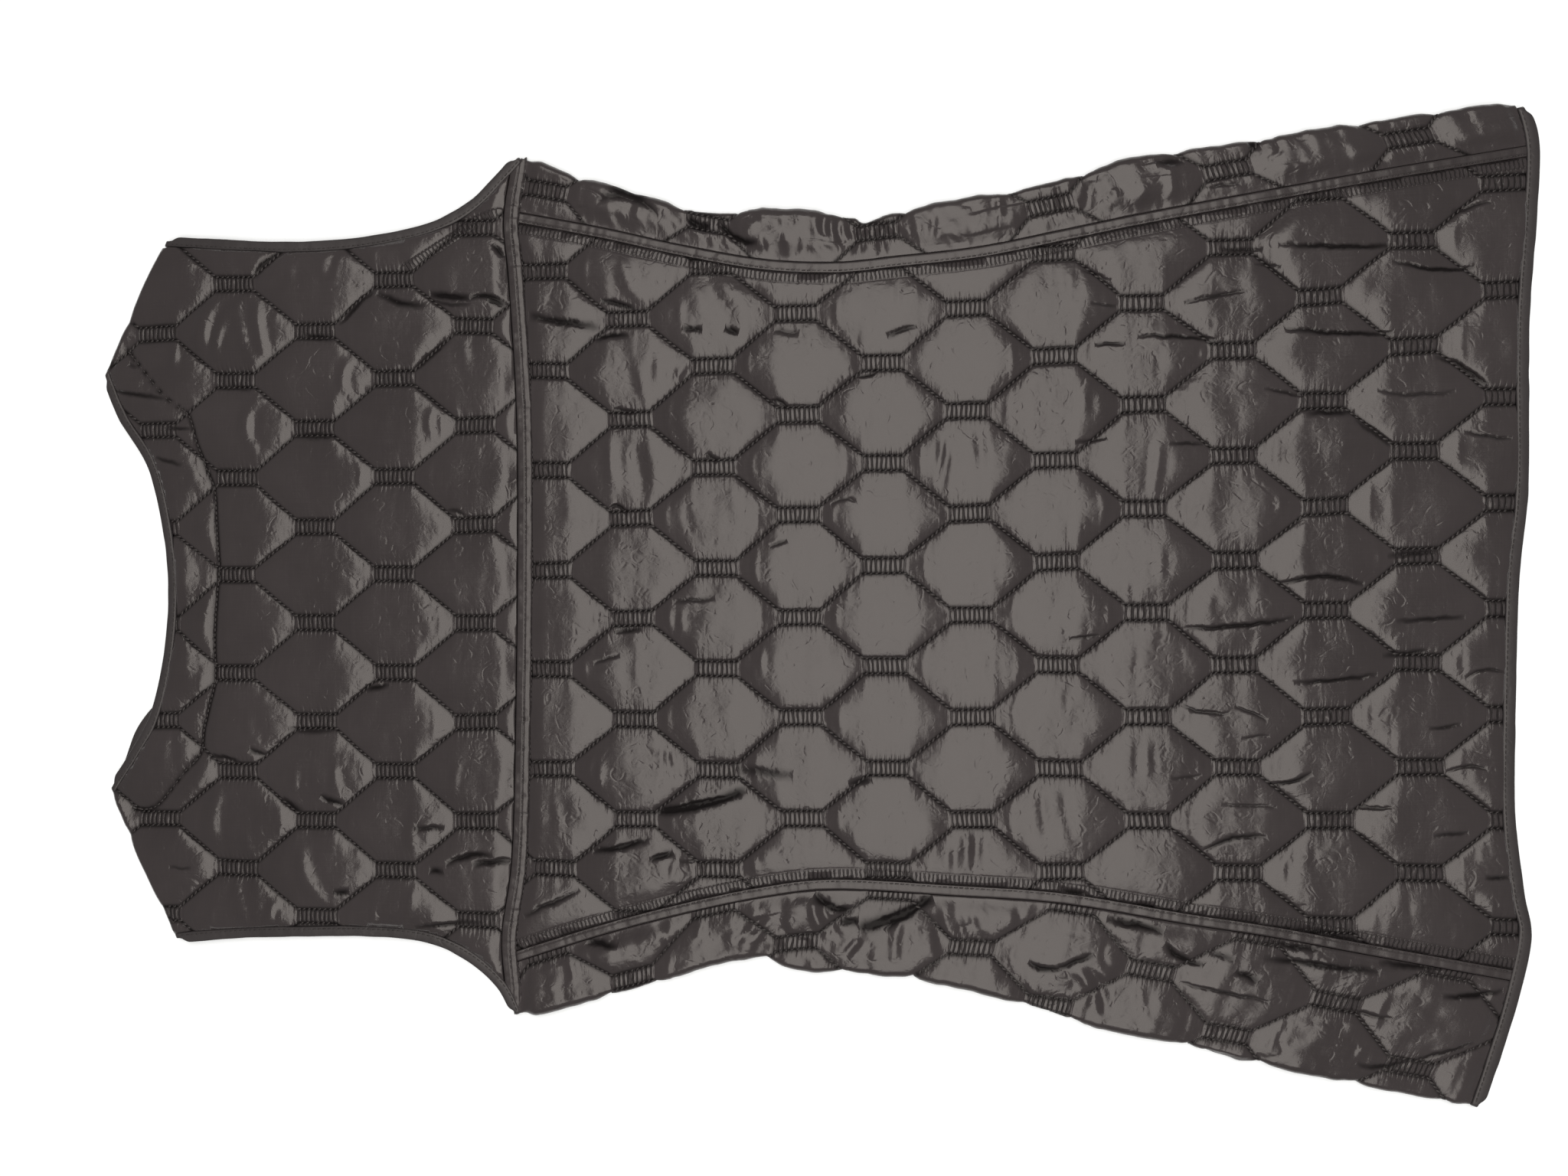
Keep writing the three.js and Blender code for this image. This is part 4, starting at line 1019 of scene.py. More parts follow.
@effect_group("Ladder of stitches", ["Height", "Painted shade"], Vector=None, Pitch=2.3, Half_width=2.8)
def ladder_of_stitches(place, pitch, half_width):
    """A band of small steps across a seam, where its overcast edge shows through, with painted shade
    at its rim and in the gaps between the steps. In the vector, X runs along the seam and Y away
    from the middle of the band, in mm."""
    along, away, _ = parts_of(place)
    inside = half_width - abs(away)
    band = ramp(inside, From_Min=-0.4, From_Max=0.7)
    turns = along / pitch * math.tau + noise(place, 0.3, 1.0) * 4.0
    crest = ramp(maths("SINE", turns), "SMOOTHSTEP", From_Min=-1.0, From_Max=-0.1)
    # rim and gap also give painted shade: a dark line at the band's rim and in the gaps between its steps
    rim = abs(inside)
    rim = 0.2 ** (rim * rim)
    gap = (1.0 - crest) * band
    return (crest * 0.36 + 0.15) * band - rim * 0.12, maths("MAXIMUM", rim * 0.25, gap * 0.6)


@effect_group("Sharp fold", ["Depth"], Vector=None, Start=None, Along=None, Across=None, Bow=0.0)
def sharp_fold(place, start, along, across, bow):
    """One sharp fold: how deep the cloth lies in it, from 0 to 1. Along runs from 0 to 1 between
    the fold's ends, and Across and Bow are in half widths."""
    from_start = vector_maths("SUBTRACT", place, start)
    share = vector_maths("DOT_PRODUCT", from_start, along) + 0.0
    share.socket.node.use_clamp = True
    hump = (4.0 - share * 4.0) * share
    aside = vector_maths("DOT_PRODUCT", from_start, across) - hump * bow
    return [0.37 ** (aside * aside) * maths("SQRT", hump)]


def deepest_fold(place, table):
    """The depth of a table's folds, in mm, at places in metres."""
    deepest = None
    for x0, y0, x1, y1, bow, width, depth in table:
        run = np.array([x1 - x0, y1 - y0], float) * MM
        long = np.linalg.norm(run)
        wide = width * 1.25
        across = (-run[1] / long / wide / MM, run[0] / long / wide / MM, 0)
        [fold] = effect(place.tree, "Sharp fold", Vector=place, Start=(x0 * MM, y0 * MM, 0),
                        Along=(*(run / long**2), 0), Across=across, Bow=bow / wide)
        fold = fold * (depth * 1.2)
        deepest = maths("MAXIMUM", deepest, fold) if deepest else fold
    return deepest


# ---------------------------------------------------------------- materials

WARM_GLINT = (1.0, 0.93, 0.86, 1)
FURROW_SHADE = 0.22  # the colour's share that is left in a furrow, as painted shade
# the gloss's share that is left in a furrow, as painted shade on the reflections
FURROW_SHADE_GLOSS = 0.15


def cloth_material(name, base, roughness, specular, threads, weave, rumple, tone, quilted=None):
    """Woven cloth: its threads, small dents, and colour and gloss that vary slowly. weave and
    rumple are heights in metres. quilted adds the furrows of the stitches, from the cloth's map,
    the place and the height: it returns the height with them, and how far each place is in one, painted as
    shade."""
    material = bpy.data.materials.get(name)
    if material:
        return material
    material = bpy.data.materials.new(name)
    material.use_nodes = True
    material.diffuse_color = (*base, 1)
    tree = material.node_tree
    shader = tree.nodes["Principled BSDF"].inputs
    connect(specular, shader["Specular IOR Level"])
    connect(WARM_GLINT, shader["Specular Tint"])
    place, flat = object_place(tree), surface_map(tree, "cloth")
    threads, slubs = effect(tree, "Woven threads", Vector=flat, Threads=threads)
    [rumples] = effect(tree, "Small rumples", Vector=place)
    [patches] = effect(tree, "Handled patches", Vector=place)
    dark, light = ((*(c * (1 + way * tone) for c in base), 1) for way in (-1, 1))
    shade = mixed(patches * 0.6 + slubs * 0.5, dark, light)
    height = threads * weave + rumples * rumple
    if quilted:
        height, furrow = quilted(flat, place, height)
        # painted shade in the furrows, folds and gaps: the mask darkens the colour and dims the gloss
        shade = mixed(furrow, shade, (*(c * FURROW_SHADE for c in base), 1))
        gloss = ramp(furrow, To_Min=specular, To_Max=specular * FURROW_SHADE_GLOSS)
        connect(gloss, shader["Specular IOR Level"])
    connect(shade, shader["Base Color"])
    uneven = (slubs - 0.5) * 0.25
    connect(ramp(patches, To_Min=roughness - 0.04, To_Max=roughness + 0.04) + uneven, shader["Roughness"])
    connect(Value(add_node(tree, "Bump", Height=height, Strength=1.0, Distance=1.0)[0]), shader["Normal"])
    return material


def nylon(panel, low=-math.inf, high=math.inf):
    """The quilted cloth of a panel from x = low to x = high, with the folds that reach into it."""
    folds = [fold for fold in FOLDS.get(panel, ())
             if max(fold[0], fold[2]) > low - FOLD_REACH and min(fold[0], fold[2]) < high + FOLD_REACH]

    def quilted(flat, place, height):
        tree = flat.tree
        beside, gathered, _ = parts_of(surface_map(tree, "stitched"))
        # furrow carries painted shade along the stitches and in the gathers, the ladder's gaps and the folds
        tucks, furrow = effect(tree, "Gathered stitches", Vector=flat, Beside=beside, Gathered=gathered,
                               Pitch=0.0031 if low >= 150 else 0.0026,
                               Round=1.0 if panel == "yoke" else 0.1)
        height = height + tucks * MM
        if panel in ("yoke", "centre"):
            steps, ladder_shade = effect(tree, "Ladder of stitches", Vector=surface_map(tree, "ladder"))
            height, furrow = height + steps * MM, maths("MAXIMUM", furrow, ladder_shade)
        if folds:
            wander = vector_maths("SUBTRACT", noise(place, 130.0, 2.0, output="Color"), (0.5, 0.5, 0.5))
            start = flat if panel in SIDES else place
            depth = deepest_fold(vector_maths("MULTIPLY_ADD", wander, (0.003, 0.003, 0.0), start), folds)
            # the folds sink into the height, and their depth is painted as shade as well
            height, furrow = height - depth * MM, maths("MAXIMUM", furrow, depth * 0.95)
        return height, furrow

    name = "vest_nylon_" + panel + ("" if low == -math.inf else f"_from_{low:g}")
    base = tuple(bpy.context.scene.vest_colours.nylon)
    return cloth_material(name, base, 0.2, 0.31, 2200.0, 0.0000012, 0.00018, 0.16, quilted)


def nylon_lengths(piece, panel):
    """Gives each length of a long panel a cloth of its own, since one holds about 30 folds."""
    cuts = FOLD_CUTS[panel]
    for low, high in zip(cuts, [*cuts[1:], math.inf]):
        piece.data.materials.append(nylon(panel, low, high))
    middles = np.empty(len(piece.data.polygons) * 3)
    piece.data.polygons.foreach_get("center", middles)
    index = np.searchsorted(cuts, middles[::3] / MM)
    piece.data.polygons.foreach_set("material_index", index.astype(np.int32))


def nylon_seam():
    base = tuple(c * 0.92 for c in bpy.context.scene.vest_colours.nylon)
    return cloth_material("vest_seam_nylon", base, 0.3, 0.3, 2200.0, 0.0000012, 0.00012, 0.16)


def binding_cloth():
    base = tuple(bpy.context.scene.vest_colours.binding)
    return cloth_material("vest_binding", base, 0.42, 0.3, 1500.0, 0.000004, 0.0001, 0.12)


def thread():
    base = tuple(bpy.context.scene.vest_colours.thread)
    return cloth_material("vest_thread", base, 0.45, 0.24, 4200.0, 0.000003, 0.0, 0.2)


# ---------------------------------------------------------------- back panels


class BackPanel:
    """A quilted panel of the back: its outline, its edges and where its quilting lies."""

    def __init__(self, quilting, quilt, bounds, edges, ridges, lengthwise, ladder, sewn, seed):
        self.quilting, self.quilt, self.edges, self.ridges = quilting, quilt, edges, ridges
        self.low, self.high, self.start, self.end = bounds
        self.lengthwise, self.ladder, self.sewn, self.seed = lengthwise, ladder, sewn, seed
        turn = math.radians(quilt["degrees"])
        self.cos, self.sin = math.cos(turn), math.sin(turn)
        points = np.concatenate([edge.points for edge, _ in edges])
        self.box = np.array([points.min(axis=0), points.max(axis=0)])

    def place(self, u, v):
        wobble = 0.8 * ripple(u / 38, v / 38, self.seed), 0.8 * ripple(u / 38, v / 38, self.seed + 9)
        x = self.quilt["x"] + u * self.cos - v * self.sin + wobble[0]
        y = self.quilt["y"] + u * self.sin + v * self.cos + wobble[1]
        return x, y

    def quilt_place(self, x, y):
        dx, dy = x - self.quilt["x"], y - self.quilt["y"]
        return dx * self.cos + dy * self.sin, dy * self.cos - dx * self.sin

    def along(self, x, y):
        return np.minimum(x - self.start(y), self.end(y) - x)

    def across(self, x, y):
        return np.minimum(y - self.low(x), self.high(x) - y)

    def inside(self, x, y, margin):
        return (self.along(x, y) > margin) & (self.across(x, y) > margin)

    def height(self, u, v, x, y):
        relief, beside, _ = self.quilting.relief(u, v)
        full = np.ones(np.shape(x))
        gathers = np.zeros(np.shape(x))
        for number, (edge, slope) in enumerate(self.edges):
            away, where = edge.nearest(x, y)
            full = np.minimum(full, smooth(1.0, slope, away))
            wave = ripple(where / 2.9, away / 14, self.seed + 20 + number)
            wave += 0.7 * ripple(where / 6.1, away / 18, self.seed + 40 + number)
            gathers += 0.26 * wave * np.exp(-away / 7) * smooth(0, 2.5, away)
        loose = crumple(x, y, self.seed + 60) * 1.25
        groove = np.zeros(np.shape(x))
        for line in self.sewn:
            away, where = line.nearest(x, y)
            full = np.minimum(full, 0.45 + 0.55 * smooth(0.5, 8, away))
            beside = np.minimum(beside, away)
            tuck = ripple(where / 2.4, away / 12, self.seed + 80) * np.exp(-away / 5)
            groove += 0.3 * tuck * smooth(0, 1.5, away) - 0.9 * np.exp(-((away / 1.5) ** 2))
            loose = loose * (1 + 0.8 * (x < line.x_at(y)))
        sharp = sharp_creases(x, y, self.seed + 70) * self.lengthwise(x)
        loose = loose - 0.75 * sharp + placed_creases(x, y, self.ridges)
        puff, loose = settled(relief, loose, beside, full)
        return np.maximum(BACK_INSIDE + STITCHED_WALL + puff + gathers + groove + loose, BACK_INSIDE + 0.5)

    def surface(self):
        us, vs = zip(*(self.quilt_place(x, y) for x in self.box[:, 0] for y in self.box[:, 1]))
        u = self.quilting.columns(min(us) - 4, max(us) + 4)
        u = u[(u > min(us) - 5) & (u < max(us) + 5)]
        k, t = np.meshgrid(self.quilting.lines(min(vs), max(vs)), ROW_STEPS, indexing="ij")
        u, k = np.meshgrid(u, k.ravel(), indexing="ij")
        v = k * self.quilting.half_row + t.ravel()[None] * self.quilting.half(u, k)
        keep = (v.max(axis=0) > min(vs) - 5) & (v.min(axis=0) < max(vs) + 5)
        u, v = u[:, keep], v[:, keep]
        grid = trim(np.stack([*self.place(u, v), u, v], axis=-1), self.along, 0)
        grid = trim(grid, self.across, 1)
        x, y, u, v = np.moveaxis(grid, -1, 0)
        _, beside, gathered = self.quilting.relief(u, v)
        for line in self.sewn:
            beside = np.minimum(beside, line.nearest(x, y)[0])
        points = np.stack([x, y, self.height(u, v, x, y)], axis=-1)
        cloth = np.stack([u, v, beside, gathered, *self.ladder(x, y)], axis=-1)
        return grid_surface(points, cloth, grid_faces(*x.shape).tolist())

    def stitches(self, name):
        """The quilting's stitches, sunk a little in their furrows and laid aslant like a chain."""
        quilting = self.quilting
        reach, rise = np.abs(self.box - [self.quilt["x"], self.quilt["y"]]).max(axis=0) + 30
        made = []
        u = np.arange(-reach, reach, 0.4)
        for k in quilting.lines(-rise, rise):
            line = Line(np.stack(self.place(u, quilting.line_at(u, k)), axis=1))
            s = np.arange(0.5 * quilting.stitch, line.length, quilting.stitch)
            at = np.interp(s, line.along, u)
            v = quilting.line_at(at, k)
            x, y = self.place(at, v)
            kept = self.inside(x, y, 1.2)
            if not kept.any():
                continue
            x, y, at, v = x[kept], y[kept], at[kept], v[kept]
            z = self.height(at, v, x, y) + 0.27
            made.append((np.stack([x, y, z], axis=1), line.tangent(s[kept]), quilting.drawn(at, k)))
        places, runs, shares = (np.concatenate(part) for part in zip(*made))
        return beads(name, places, runs, QUILT_STITCH, slant=QUILT_SLANT, seed=self.seed, share=shares)


def centre_panel(mm):
    half = mm.side_seam / 2 + GAP
    right, left = (SIDES[name]["seam"].offset(-SIDES[name]["way"] * half) for name in SIDES)
    seams = [side["seam"].spaced(7) for side in SIDES.values()]
    edges = [(seams[0], 19.0), (seams[1], 19.0), (yoke_seam.spaced(7), 12.0), (hem.spaced(7), 10.0)]

    def ladder(x, y):
        (right_away, right_s), (left_away, left_s) = (seam.nearest(x, y) for seam in seams)
        near_right = right_away < left_away
        return np.where(near_right, right_s, left_s), np.where(near_right, right_away, left_away) - 6

    return BackPanel(
        Quilting(mm, 3), CENTRE_QUILT,
        (left.y_at, right.y_at, below_yoke_seam(mm).x_at, above_hem_binding(mm).x_at),
        edges, RIDGES["centre"], lambda x: 0.35 + 0.65 * smooth(120, 230, x), ladder, [], 100,
    )


def yoke_panel(mm):
    bounds = {}
    for name, side in SIDES.items():
        edge = inside_armhole(side, mm)
        roll = side["shoulder"].offset(-side["way"] * SHOULDER_ROUND).lengthened(60)
        bounds[name] = lambda x, edge=edge, roll=roll, pick=inner(side): pick(edge.y_at(x), roll.y_at(x))
    start = neck.offset(mm.neck_binding + GAP).lengthened(20)
    end = yoke_seam.offset(-(mm.yoke_seam / 2 + GAP))
    edges = [neck, yoke_seam, SIDES["right"]["armhole"], SIDES["left"]["armhole"]]
    edges = [(edge.spaced(7), 12.0) for edge in edges]
    line = curve_through(ARMHOLE_LADDER)

    def ladder(x, y):
        away, s = line.nearest(x, y)
        return s, away

    return BackPanel(
        Quilting(mm, 8), YOKE_QUILT, (bounds["left"], bounds["right"], start.x_at, end.x_at),
        edges, RIDGES["yoke"], lambda x: 0.4, ladder, [facing.spaced(5)], 200,
    )


def facing_stitches(panel):
    """The row that holds the neck's facing, sewn through the yoke."""
    s = np.arange(2, facing.length - 2, EDGE_PITCH)
    s = s[panel.inside(*facing.at(s).T, 1)]
    x, y = facing.at(s).T
    z = panel.height(*panel.quilt_place(x, y), x, y) + 0.45
    return beads("row", np.stack([x, y, z], axis=1), facing.tangent(s), FACING_STITCH)


def level_floor(z):
    return lambda edge: raised(edge[:, :2], z)


def rolled_rings():
    """Rings that carry the yoke's edge straight down, but round and under at the shoulders."""
    rolls = []
    for side in SIDES.values():
        tangent = side["shoulder"].tangent([side["shoulder"].length / 2])[0]
        outward = np.array([-tangent[1], tangent[0]]) * side["way"]
        rolls.append((side["shoulder"].offset(-side["way"] * SHOULDER_ROUND), outward))

    def ring(share, inward=0.0, up=False):
        def placed(edge):
            made = edge.copy()
            made[:, 2] = edge[:, 2] + (BACK_INSIDE - edge[:, 2]) * share
            for line, outward in rolls:
                rolled = line.nearest(edge[:, 0], edge[:, 1])[0] < 0.4
                angle = math.pi * share
                top = edge[rolled, 2]
                middle, half = (top + UNDER_SHOULDER) / 2, (top - UNDER_SHOULDER) / 2
                made[rolled, :2] = edge[rolled, :2] + outward * (SHOULDER_ROUND * math.sin(angle) - inward)
                made[rolled, 2] = BACK_INSIDE if up else middle + half * math.cos(angle)
            return made

        return placed

    return [ring(s) for s in (0.12, 0.28, 0.44, 0.6, 0.76, 0.9, 1.0)] + [ring(1, 2.0), ring(1, 2.0, True)]


def back_piece(name, panel, rings):
    """A panel of the back, in as many materials as its lengths need."""
    piece = closed_skin("vest_back_" + name, *closed_shell(panel.surface(), rings),
                        nylon(name, high=FOLD_CUTS[name][0]))
    nylon_lengths(piece, name)
    return piece


# ---------------------------------------------------------------- side panels


class SidePanel:
    """A side panel: over the top from its seam, round the fold, and flat along the underside. s runs
    along the fold, and across from the seam."""

    def __init__(self, name, mm):
        self.name, self.side = name, SIDES[name]
        self.quilting = Quilting(mm, self.side["seed"])
        self.start = mm.side_seam / 2 + GAP
        self.radius = (BACK_INSIDE + STITCHED_WALL) / 2
        self.armhole = self.side["armhole"].spaced(6)
        self.yoke_edge, self.hem_edge = below_yoke_seam(mm), above_hem_binding(mm)

    def frame_at(self, s):
        """Places on the seam, the way out from it, and how far the cloth lies flat that way."""
        side = self.side
        seam = side["seam"].at(s * side["seam"].length / side["fold"].length)
        outwards = side["fold"].at(s) - seam
        width = np.linalg.norm(outwards, axis=-1)
        return seam, outwards / width[..., None], width, width - self.radius - 1.4

    def skin(self, s, across):
        """Places and outward directions of the outer cloth, and its marks for the material."""
        seam, outwards, _, flat = self.frame_at(s)
        radius, start, seed = self.radius, self.start, self.side["seed"]
        turn = np.clip((across - flat) / radius, 0, math.pi)
        lean, stand = np.sin(turn), np.cos(turn)
        out, up = np.minimum(across, flat) + radius * lean, radius + radius * stand
        quilt = self.side["quilt"]
        relief, beside, gathered = self.quilting.relief(s - quilt[0], across - quilt[1])
        x, y = seam[..., 0] + outwards[..., 0] * out, seam[..., 1] + outwards[..., 1] * out
        away, _ = self.armhole.nearest(x, y)
        full = smooth(0, 10, across - start) * smooth(0, 9, self.hem_edge.x_at(y) - x)
        full *= smooth(0, 9, x - self.yoke_edge.x_at(y)) * smooth(4, 12, away)
        wave = ripple(s / 3.1, across / 16, seed + 3) + 0.7 * ripple(s / 6.7, across / 20, seed + 4)
        gathers = 0.3 * wave * np.exp(-np.maximum(across - start, 0) / 8) * smooth(0, 2.5, across - start)
        waist = np.exp(-(((seam[..., 0] - 10) / 95) ** 2))
        bent = s / 9 + 0.4 * ripple(s / 30, across / 12, seed + 9)
        loose = 1.5 * crumple(s, across, seed + 60) + 0.25 * ripple(s / 5.5, across / 26, seed + 7)
        loose += 0.85 * waist * ripple(bent, across / 30, seed + 8)
        loose += placed_creases(s, across, RIDGES[self.name]) - 0.7 * sharp_creases(s, across, seed + 70)
        puff, loose = settled(relief, loose, beside, full)
        # the cloth that lies on the floor is pressed flat
        puff = np.maximum(gathers + puff + loose, -0.8) * smooth(-0.75, 0.1, stand)
        out, up = out + lean * puff, np.maximum(up + stand * puff, 0)
        direction = raised(outwards * lean[..., None], stand)
        return raised(seam + outwards * out[..., None], up), direction, beside, gathered

    def clear(self, x, y):
        """Positive between the yoke seam and the hem; it reaches round the yoke seam's end."""
        tip = abs(self.side["fold"].points[0, 1]) - 6
        start = self.yoke_edge.x_at(y) - 3.6 * smooth(tip - 1.5, tip + 1.5, np.abs(y))
        return np.minimum(x - start, self.hem_edge.x_at(y) - x)

    def build(self):
        fold = self.side["fold"]
        along = np.linspace(0, fold.length, round(fold.length / 1.35) + 1)
        seam, outwards, width, flat = (value[:, None] for value in self.frame_at(along))
        inner_edge = width - hidden_width(self.side, fold.at(along)[:, 0])[:, None]
        arc = math.pi * self.radius
        across = np.concatenate([self.start + (flat - self.start) * np.linspace(0, 1, 44)[None],
                                 flat + arc * np.linspace(0, 1, 12)[None, 1:]], axis=1)
        s = np.repeat(along[:, None], across.shape[1], axis=1)
        skin, _, beside, gathered = self.skin(s, across)
        rings = [skin]
        cloth = [np.stack([s, across, beside, gathered], axis=-1)]
        runs = (
            (0.0, flat, inner_edge, 9),
            (FRONT_WALL, inner_edge, flat - 1.0, 6),
            (BACK_INSIDE, flat - 1.0, self.start, 6),
        )
        for z, first, last, number in runs:
            out = first + (last - first) * np.linspace(0, 1, number)[None, (1 if z == 0 else 0) :]
            s = np.repeat(along[:, None], out.shape[1], axis=1)
            rings.append(raised(seam + outwards * out[..., None], z))
            outside = 2 * flat + arc - out if z == 0 else out
            cloth.append(np.stack([s, outside, np.full(out.shape, FAR_FROM_STITCHES), 0 * out], axis=-1))
        grid = np.concatenate([np.concatenate(rings, axis=1), np.concatenate(cloth, axis=1)], axis=-1)
        grid = trim(grid, self.clear, 0)
        return tube("vest_side_" + self.name, grid[..., :3], grid[..., 3:], nylon(self.name))

    def stitches(self):
        quilting, (quilt_s, quilt_v) = self.quilting, self.side["quilt"]
        made = []
        u = np.arange(-quilt_s, self.side["fold"].length - quilt_s, 0.4)
        for k in quilting.lines(-quilt_v, 110 - quilt_v):
            line = Line(np.stack([u, quilting.line_at(u, k)], axis=1))
            d = np.arange(0.5 * quilting.stitch, line.length - 0.6, quilting.stitch)
            at, after = (line.at(place) + [quilt_s, quilt_v] for place in (d, d + 0.5))
            _, _, _, flat = self.frame_at(at[:, 0])
            kept = (at[:, 1] > self.start + 2) & (at[:, 1] < flat + self.radius * 1.4)
            at, after = at[kept], after[kept]
            place, up, _, _ = self.skin(*at.T)
            run = self.skin(*after.T)[0] - place
            run /= np.maximum(np.linalg.norm(run, axis=1, keepdims=True), 1e-6)
            shown = self.clear(place[:, 0], place[:, 1]) > 1.5
            share = quilting.drawn(at[:, 0] - quilt_s, k)
            made.append([value[shown] for value in (place + 0.3 * up, run, up, share)])
        places, runs, ups, shares = (np.concatenate(part) for part in zip(*made))
        return beads("vest_side_stitches_" + self.name, places, runs, QUILT_STITCH, ups, QUILT_SLANT,
                     seed=self.side["seed"], share=shares)


def hidden_width(side, x):
    """How far a side panel reaches on the underside, in from its fold."""
    return np.interp(x, *np.array(SIDE_FRONT).T[[0, side["column"]]])


# ---------------------------------------------------------------- fronts, underneath


def side_edge(side):
    """Where a side panel ends on the underside and the front starts."""
    share = np.linspace(0, 1, round(side["fold"].length / 8) + 1)
    fold, seam = (side[name].at(share * side[name].length) for name in ("fold", "seam"))
    width = np.linalg.norm(fold - seam, axis=1)
    outwards = (fold - seam) / width[:, None]
    return Line(seam + outwards * (width - hidden_width(side, fold[:, 0]) - GAP)[:, None])


def front_panel(name, mm):
    """A front, face down: its quilting is pressed flat, with furrows at the stitches."""
    side = SIDES[name]
    way = side["way"]
    opening = CENTRE_FRONT_Y + way * FRONT_OPENING / 2
    armhole = inside_armhole(side, mm)
    roll = side["shoulder"].offset(-way * (SHOULDER_ROUND + 2.4)).lengthened(60)
    neck_edge = front_neck_run(side, mm).offset(way * (mm.neck_binding + 2 * GAP) / 2).lengthened(14)
    hem_edge = above_hem_binding(mm)
    # seen from the centre front outwards
    xs = np.concatenate([np.arange(-394, -156, 3.0), [-152.6, -152.0], np.arange(-149, 392, 3.0)])
    shoulder = inner(side)(armhole.y_at(xs), roll.y_at(xs))
    outer = np.where(xs < -152.3, shoulder, side_edge(side).y_at(xs))[:, None]
    shares = np.linspace(0, 1, 80)
    across = opening + (outer - opening) * shares
    grid = np.stack([np.broadcast_to(xs[:, None], across.shape), across], axis=-1)
    grid = trim(grid, lambda x, y: np.minimum(x - neck_edge.x_at(y), hem_edge.x_at(y) - x), 0)
    x, y = grid[..., 0], grid[..., 1]
    relief, beside, gathered = Quilting(mm, side["seed"] + 5).relief(x + 20, y - 30)
    furrow = 0.5 * np.clip(1 - relief / 1.6, 0, 1)
    furrow = furrow * smooth(0, 6, np.minimum(np.abs(y - opening), np.abs(outer - y)))
    # built with its outer face up, then turned over
    surface = grid_surface(np.stack([x, y, -furrow], axis=-1), np.stack([x, y, beside, gathered], axis=-1),
                           grid_faces(*x.shape)[:, ::way].tolist())
    points, cloth, faces = closed_shell(surface, [level_floor(-FRONT_WALL)])
    return closed_skin("vest_front_" + name, points * [1, 1, -1], cloth, faces, nylon("front"))


def front_neck_run(side, mm):
    """The middle of a front's neck binding, from the shoulder to the centre front."""
    run = binding_run(neck.offset(mm.neck_binding / 2))
    end = run.points[0] if side["way"] > 0 else run.points[-1]
    heading = run.tangent([0.0 if side["way"] > 0 else run.length])[0] * side["way"]
    return curve_through([end, end + heading * 9, *side["front_neck"]])


# ---------------------------------------------------------------- seams and bindings


def binding_run(line, start=TURN_ROOM):
    return line.part(start, line.length - TURN_ROOM, 1.2)


def strip_piece(name, line, half, number, height, clear):
    """A felled seam along a line, as far as clear(x, y) is positive. height(s, across) is its
    height over the inside of the back."""
    s, across = np.meshgrid(line.along, np.linspace(-half, half, number), indexing="ij")
    plane = line.points[:, None] + line.left()[:, None] * across[..., None]
    top = trim(raised(plane, BACK_INSIDE + height(s, across)), clear, 0)
    ends = top[:, [-1, 0]].copy()
    ends[..., 2] = BACK_INSIDE
    cloth = np.stack([s, across], axis=-1)
    return tube(name, np.concatenate([top, ends], axis=1),
                np.concatenate([cloth, cloth[:, [-1, 0]]], axis=1), nylon_seam())


def stitch_row(line, away, z, pitch, size):
    """Stitches along a line, at a distance to its left."""
    row = line.offset(away)
    s = np.arange(pitch / 2, row.length, pitch)
    return beads("row", raised(row.at(s), z), row.tangent(s), size, slant=ROW_SLANT, seed=5)


def yoke_strip(mm):
    """The felled seam below the yoke, with the line that its stitches follow."""
    half = mm.yoke_seam / 2
    line = yoke_seam.part(0, yoke_seam.length, 0.9)

    def height(s, across):
        edge = np.clip(1 - np.abs(across / half) ** 8, 0, 1) ** 0.5
        rows = sum(np.exp(-(((across - at) / 0.38) ** 2)) for at in YOKE_ROWS)
        past = across - YOKE_ROWS[0]
        ridge = np.where(past > 0, 0.35 - 0.13 * past, 0.35 + 0.06 * past)
        puckers = ripple(s / 1.9, across / 5, 301) * 0.24 + ripple(s / 5.2, across / 9, 302) * 0.22
        tucks = np.exp(-((ripple(s / 9, across / 22, 303) / 0.07) ** 2)) * 0.55
        return 1.25 + 0.85 * edge + ridge - 0.45 * rows + (puckers - tucks) * edge

    right, left = (inside_armhole(side, mm) for side in SIDES.values())

    def clear(x, y):
        return np.minimum(right.y_at(x) - y, y - left.y_at(x))

    piece = strip_piece("vest_yoke_seam", line, half, 27, height, clear)
    return piece, Line(line.points[clear(*line.points.T) > 3])


def side_strip(name, mm):
    """A felled side-back seam, with the line that its stitches follow."""
    way = SIDES[name]["way"]
    half = mm.side_seam / 2
    line = SIDES[name]["seam"].part(0, SIDES[name]["seam"].length, 1.1)

    def height(s, across):
        out = across * way / half  # 1 at the fold beside the side panel
        fold = np.clip(1 - np.maximum(out, 0) ** 4, 0, 1) ** 0.5
        soft = np.clip(1 - np.maximum(-out, 0) ** 6, 0, 1)
        row = np.exp(-(((across * way + SIDE_ROW) / 0.5) ** 2))
        uneven = ripple(s / 2.3, across / 8, 311 + way) * 0.16 + ripple(s / 9, across / 9, 312) * 0.16
        return 1.15 + 1.0 * fold * (0.55 + 0.45 * soft) - 0.45 * row + uneven * fold

    start, end = below_yoke_seam(mm), above_hem_binding(mm)

    def clear(x, y):
        return np.minimum(x - start.x_at(y), end.x_at(y) - x)

    piece = strip_piece("vest_side_seam_" + name, line, half, 15, height, clear)
    return piece, Line(line.points[clear(*line.points.T) > 1])


def binding_section(width, thickness):
    angle = np.linspace(0, 2 * math.pi, 16, endpoint=False)
    c, s = np.cos(angle), np.sin(angle)
    return np.sign(c) * np.abs(c) ** 0.55 * width / 2, np.sign(s) * np.abs(s) ** 0.7 * thickness / 2


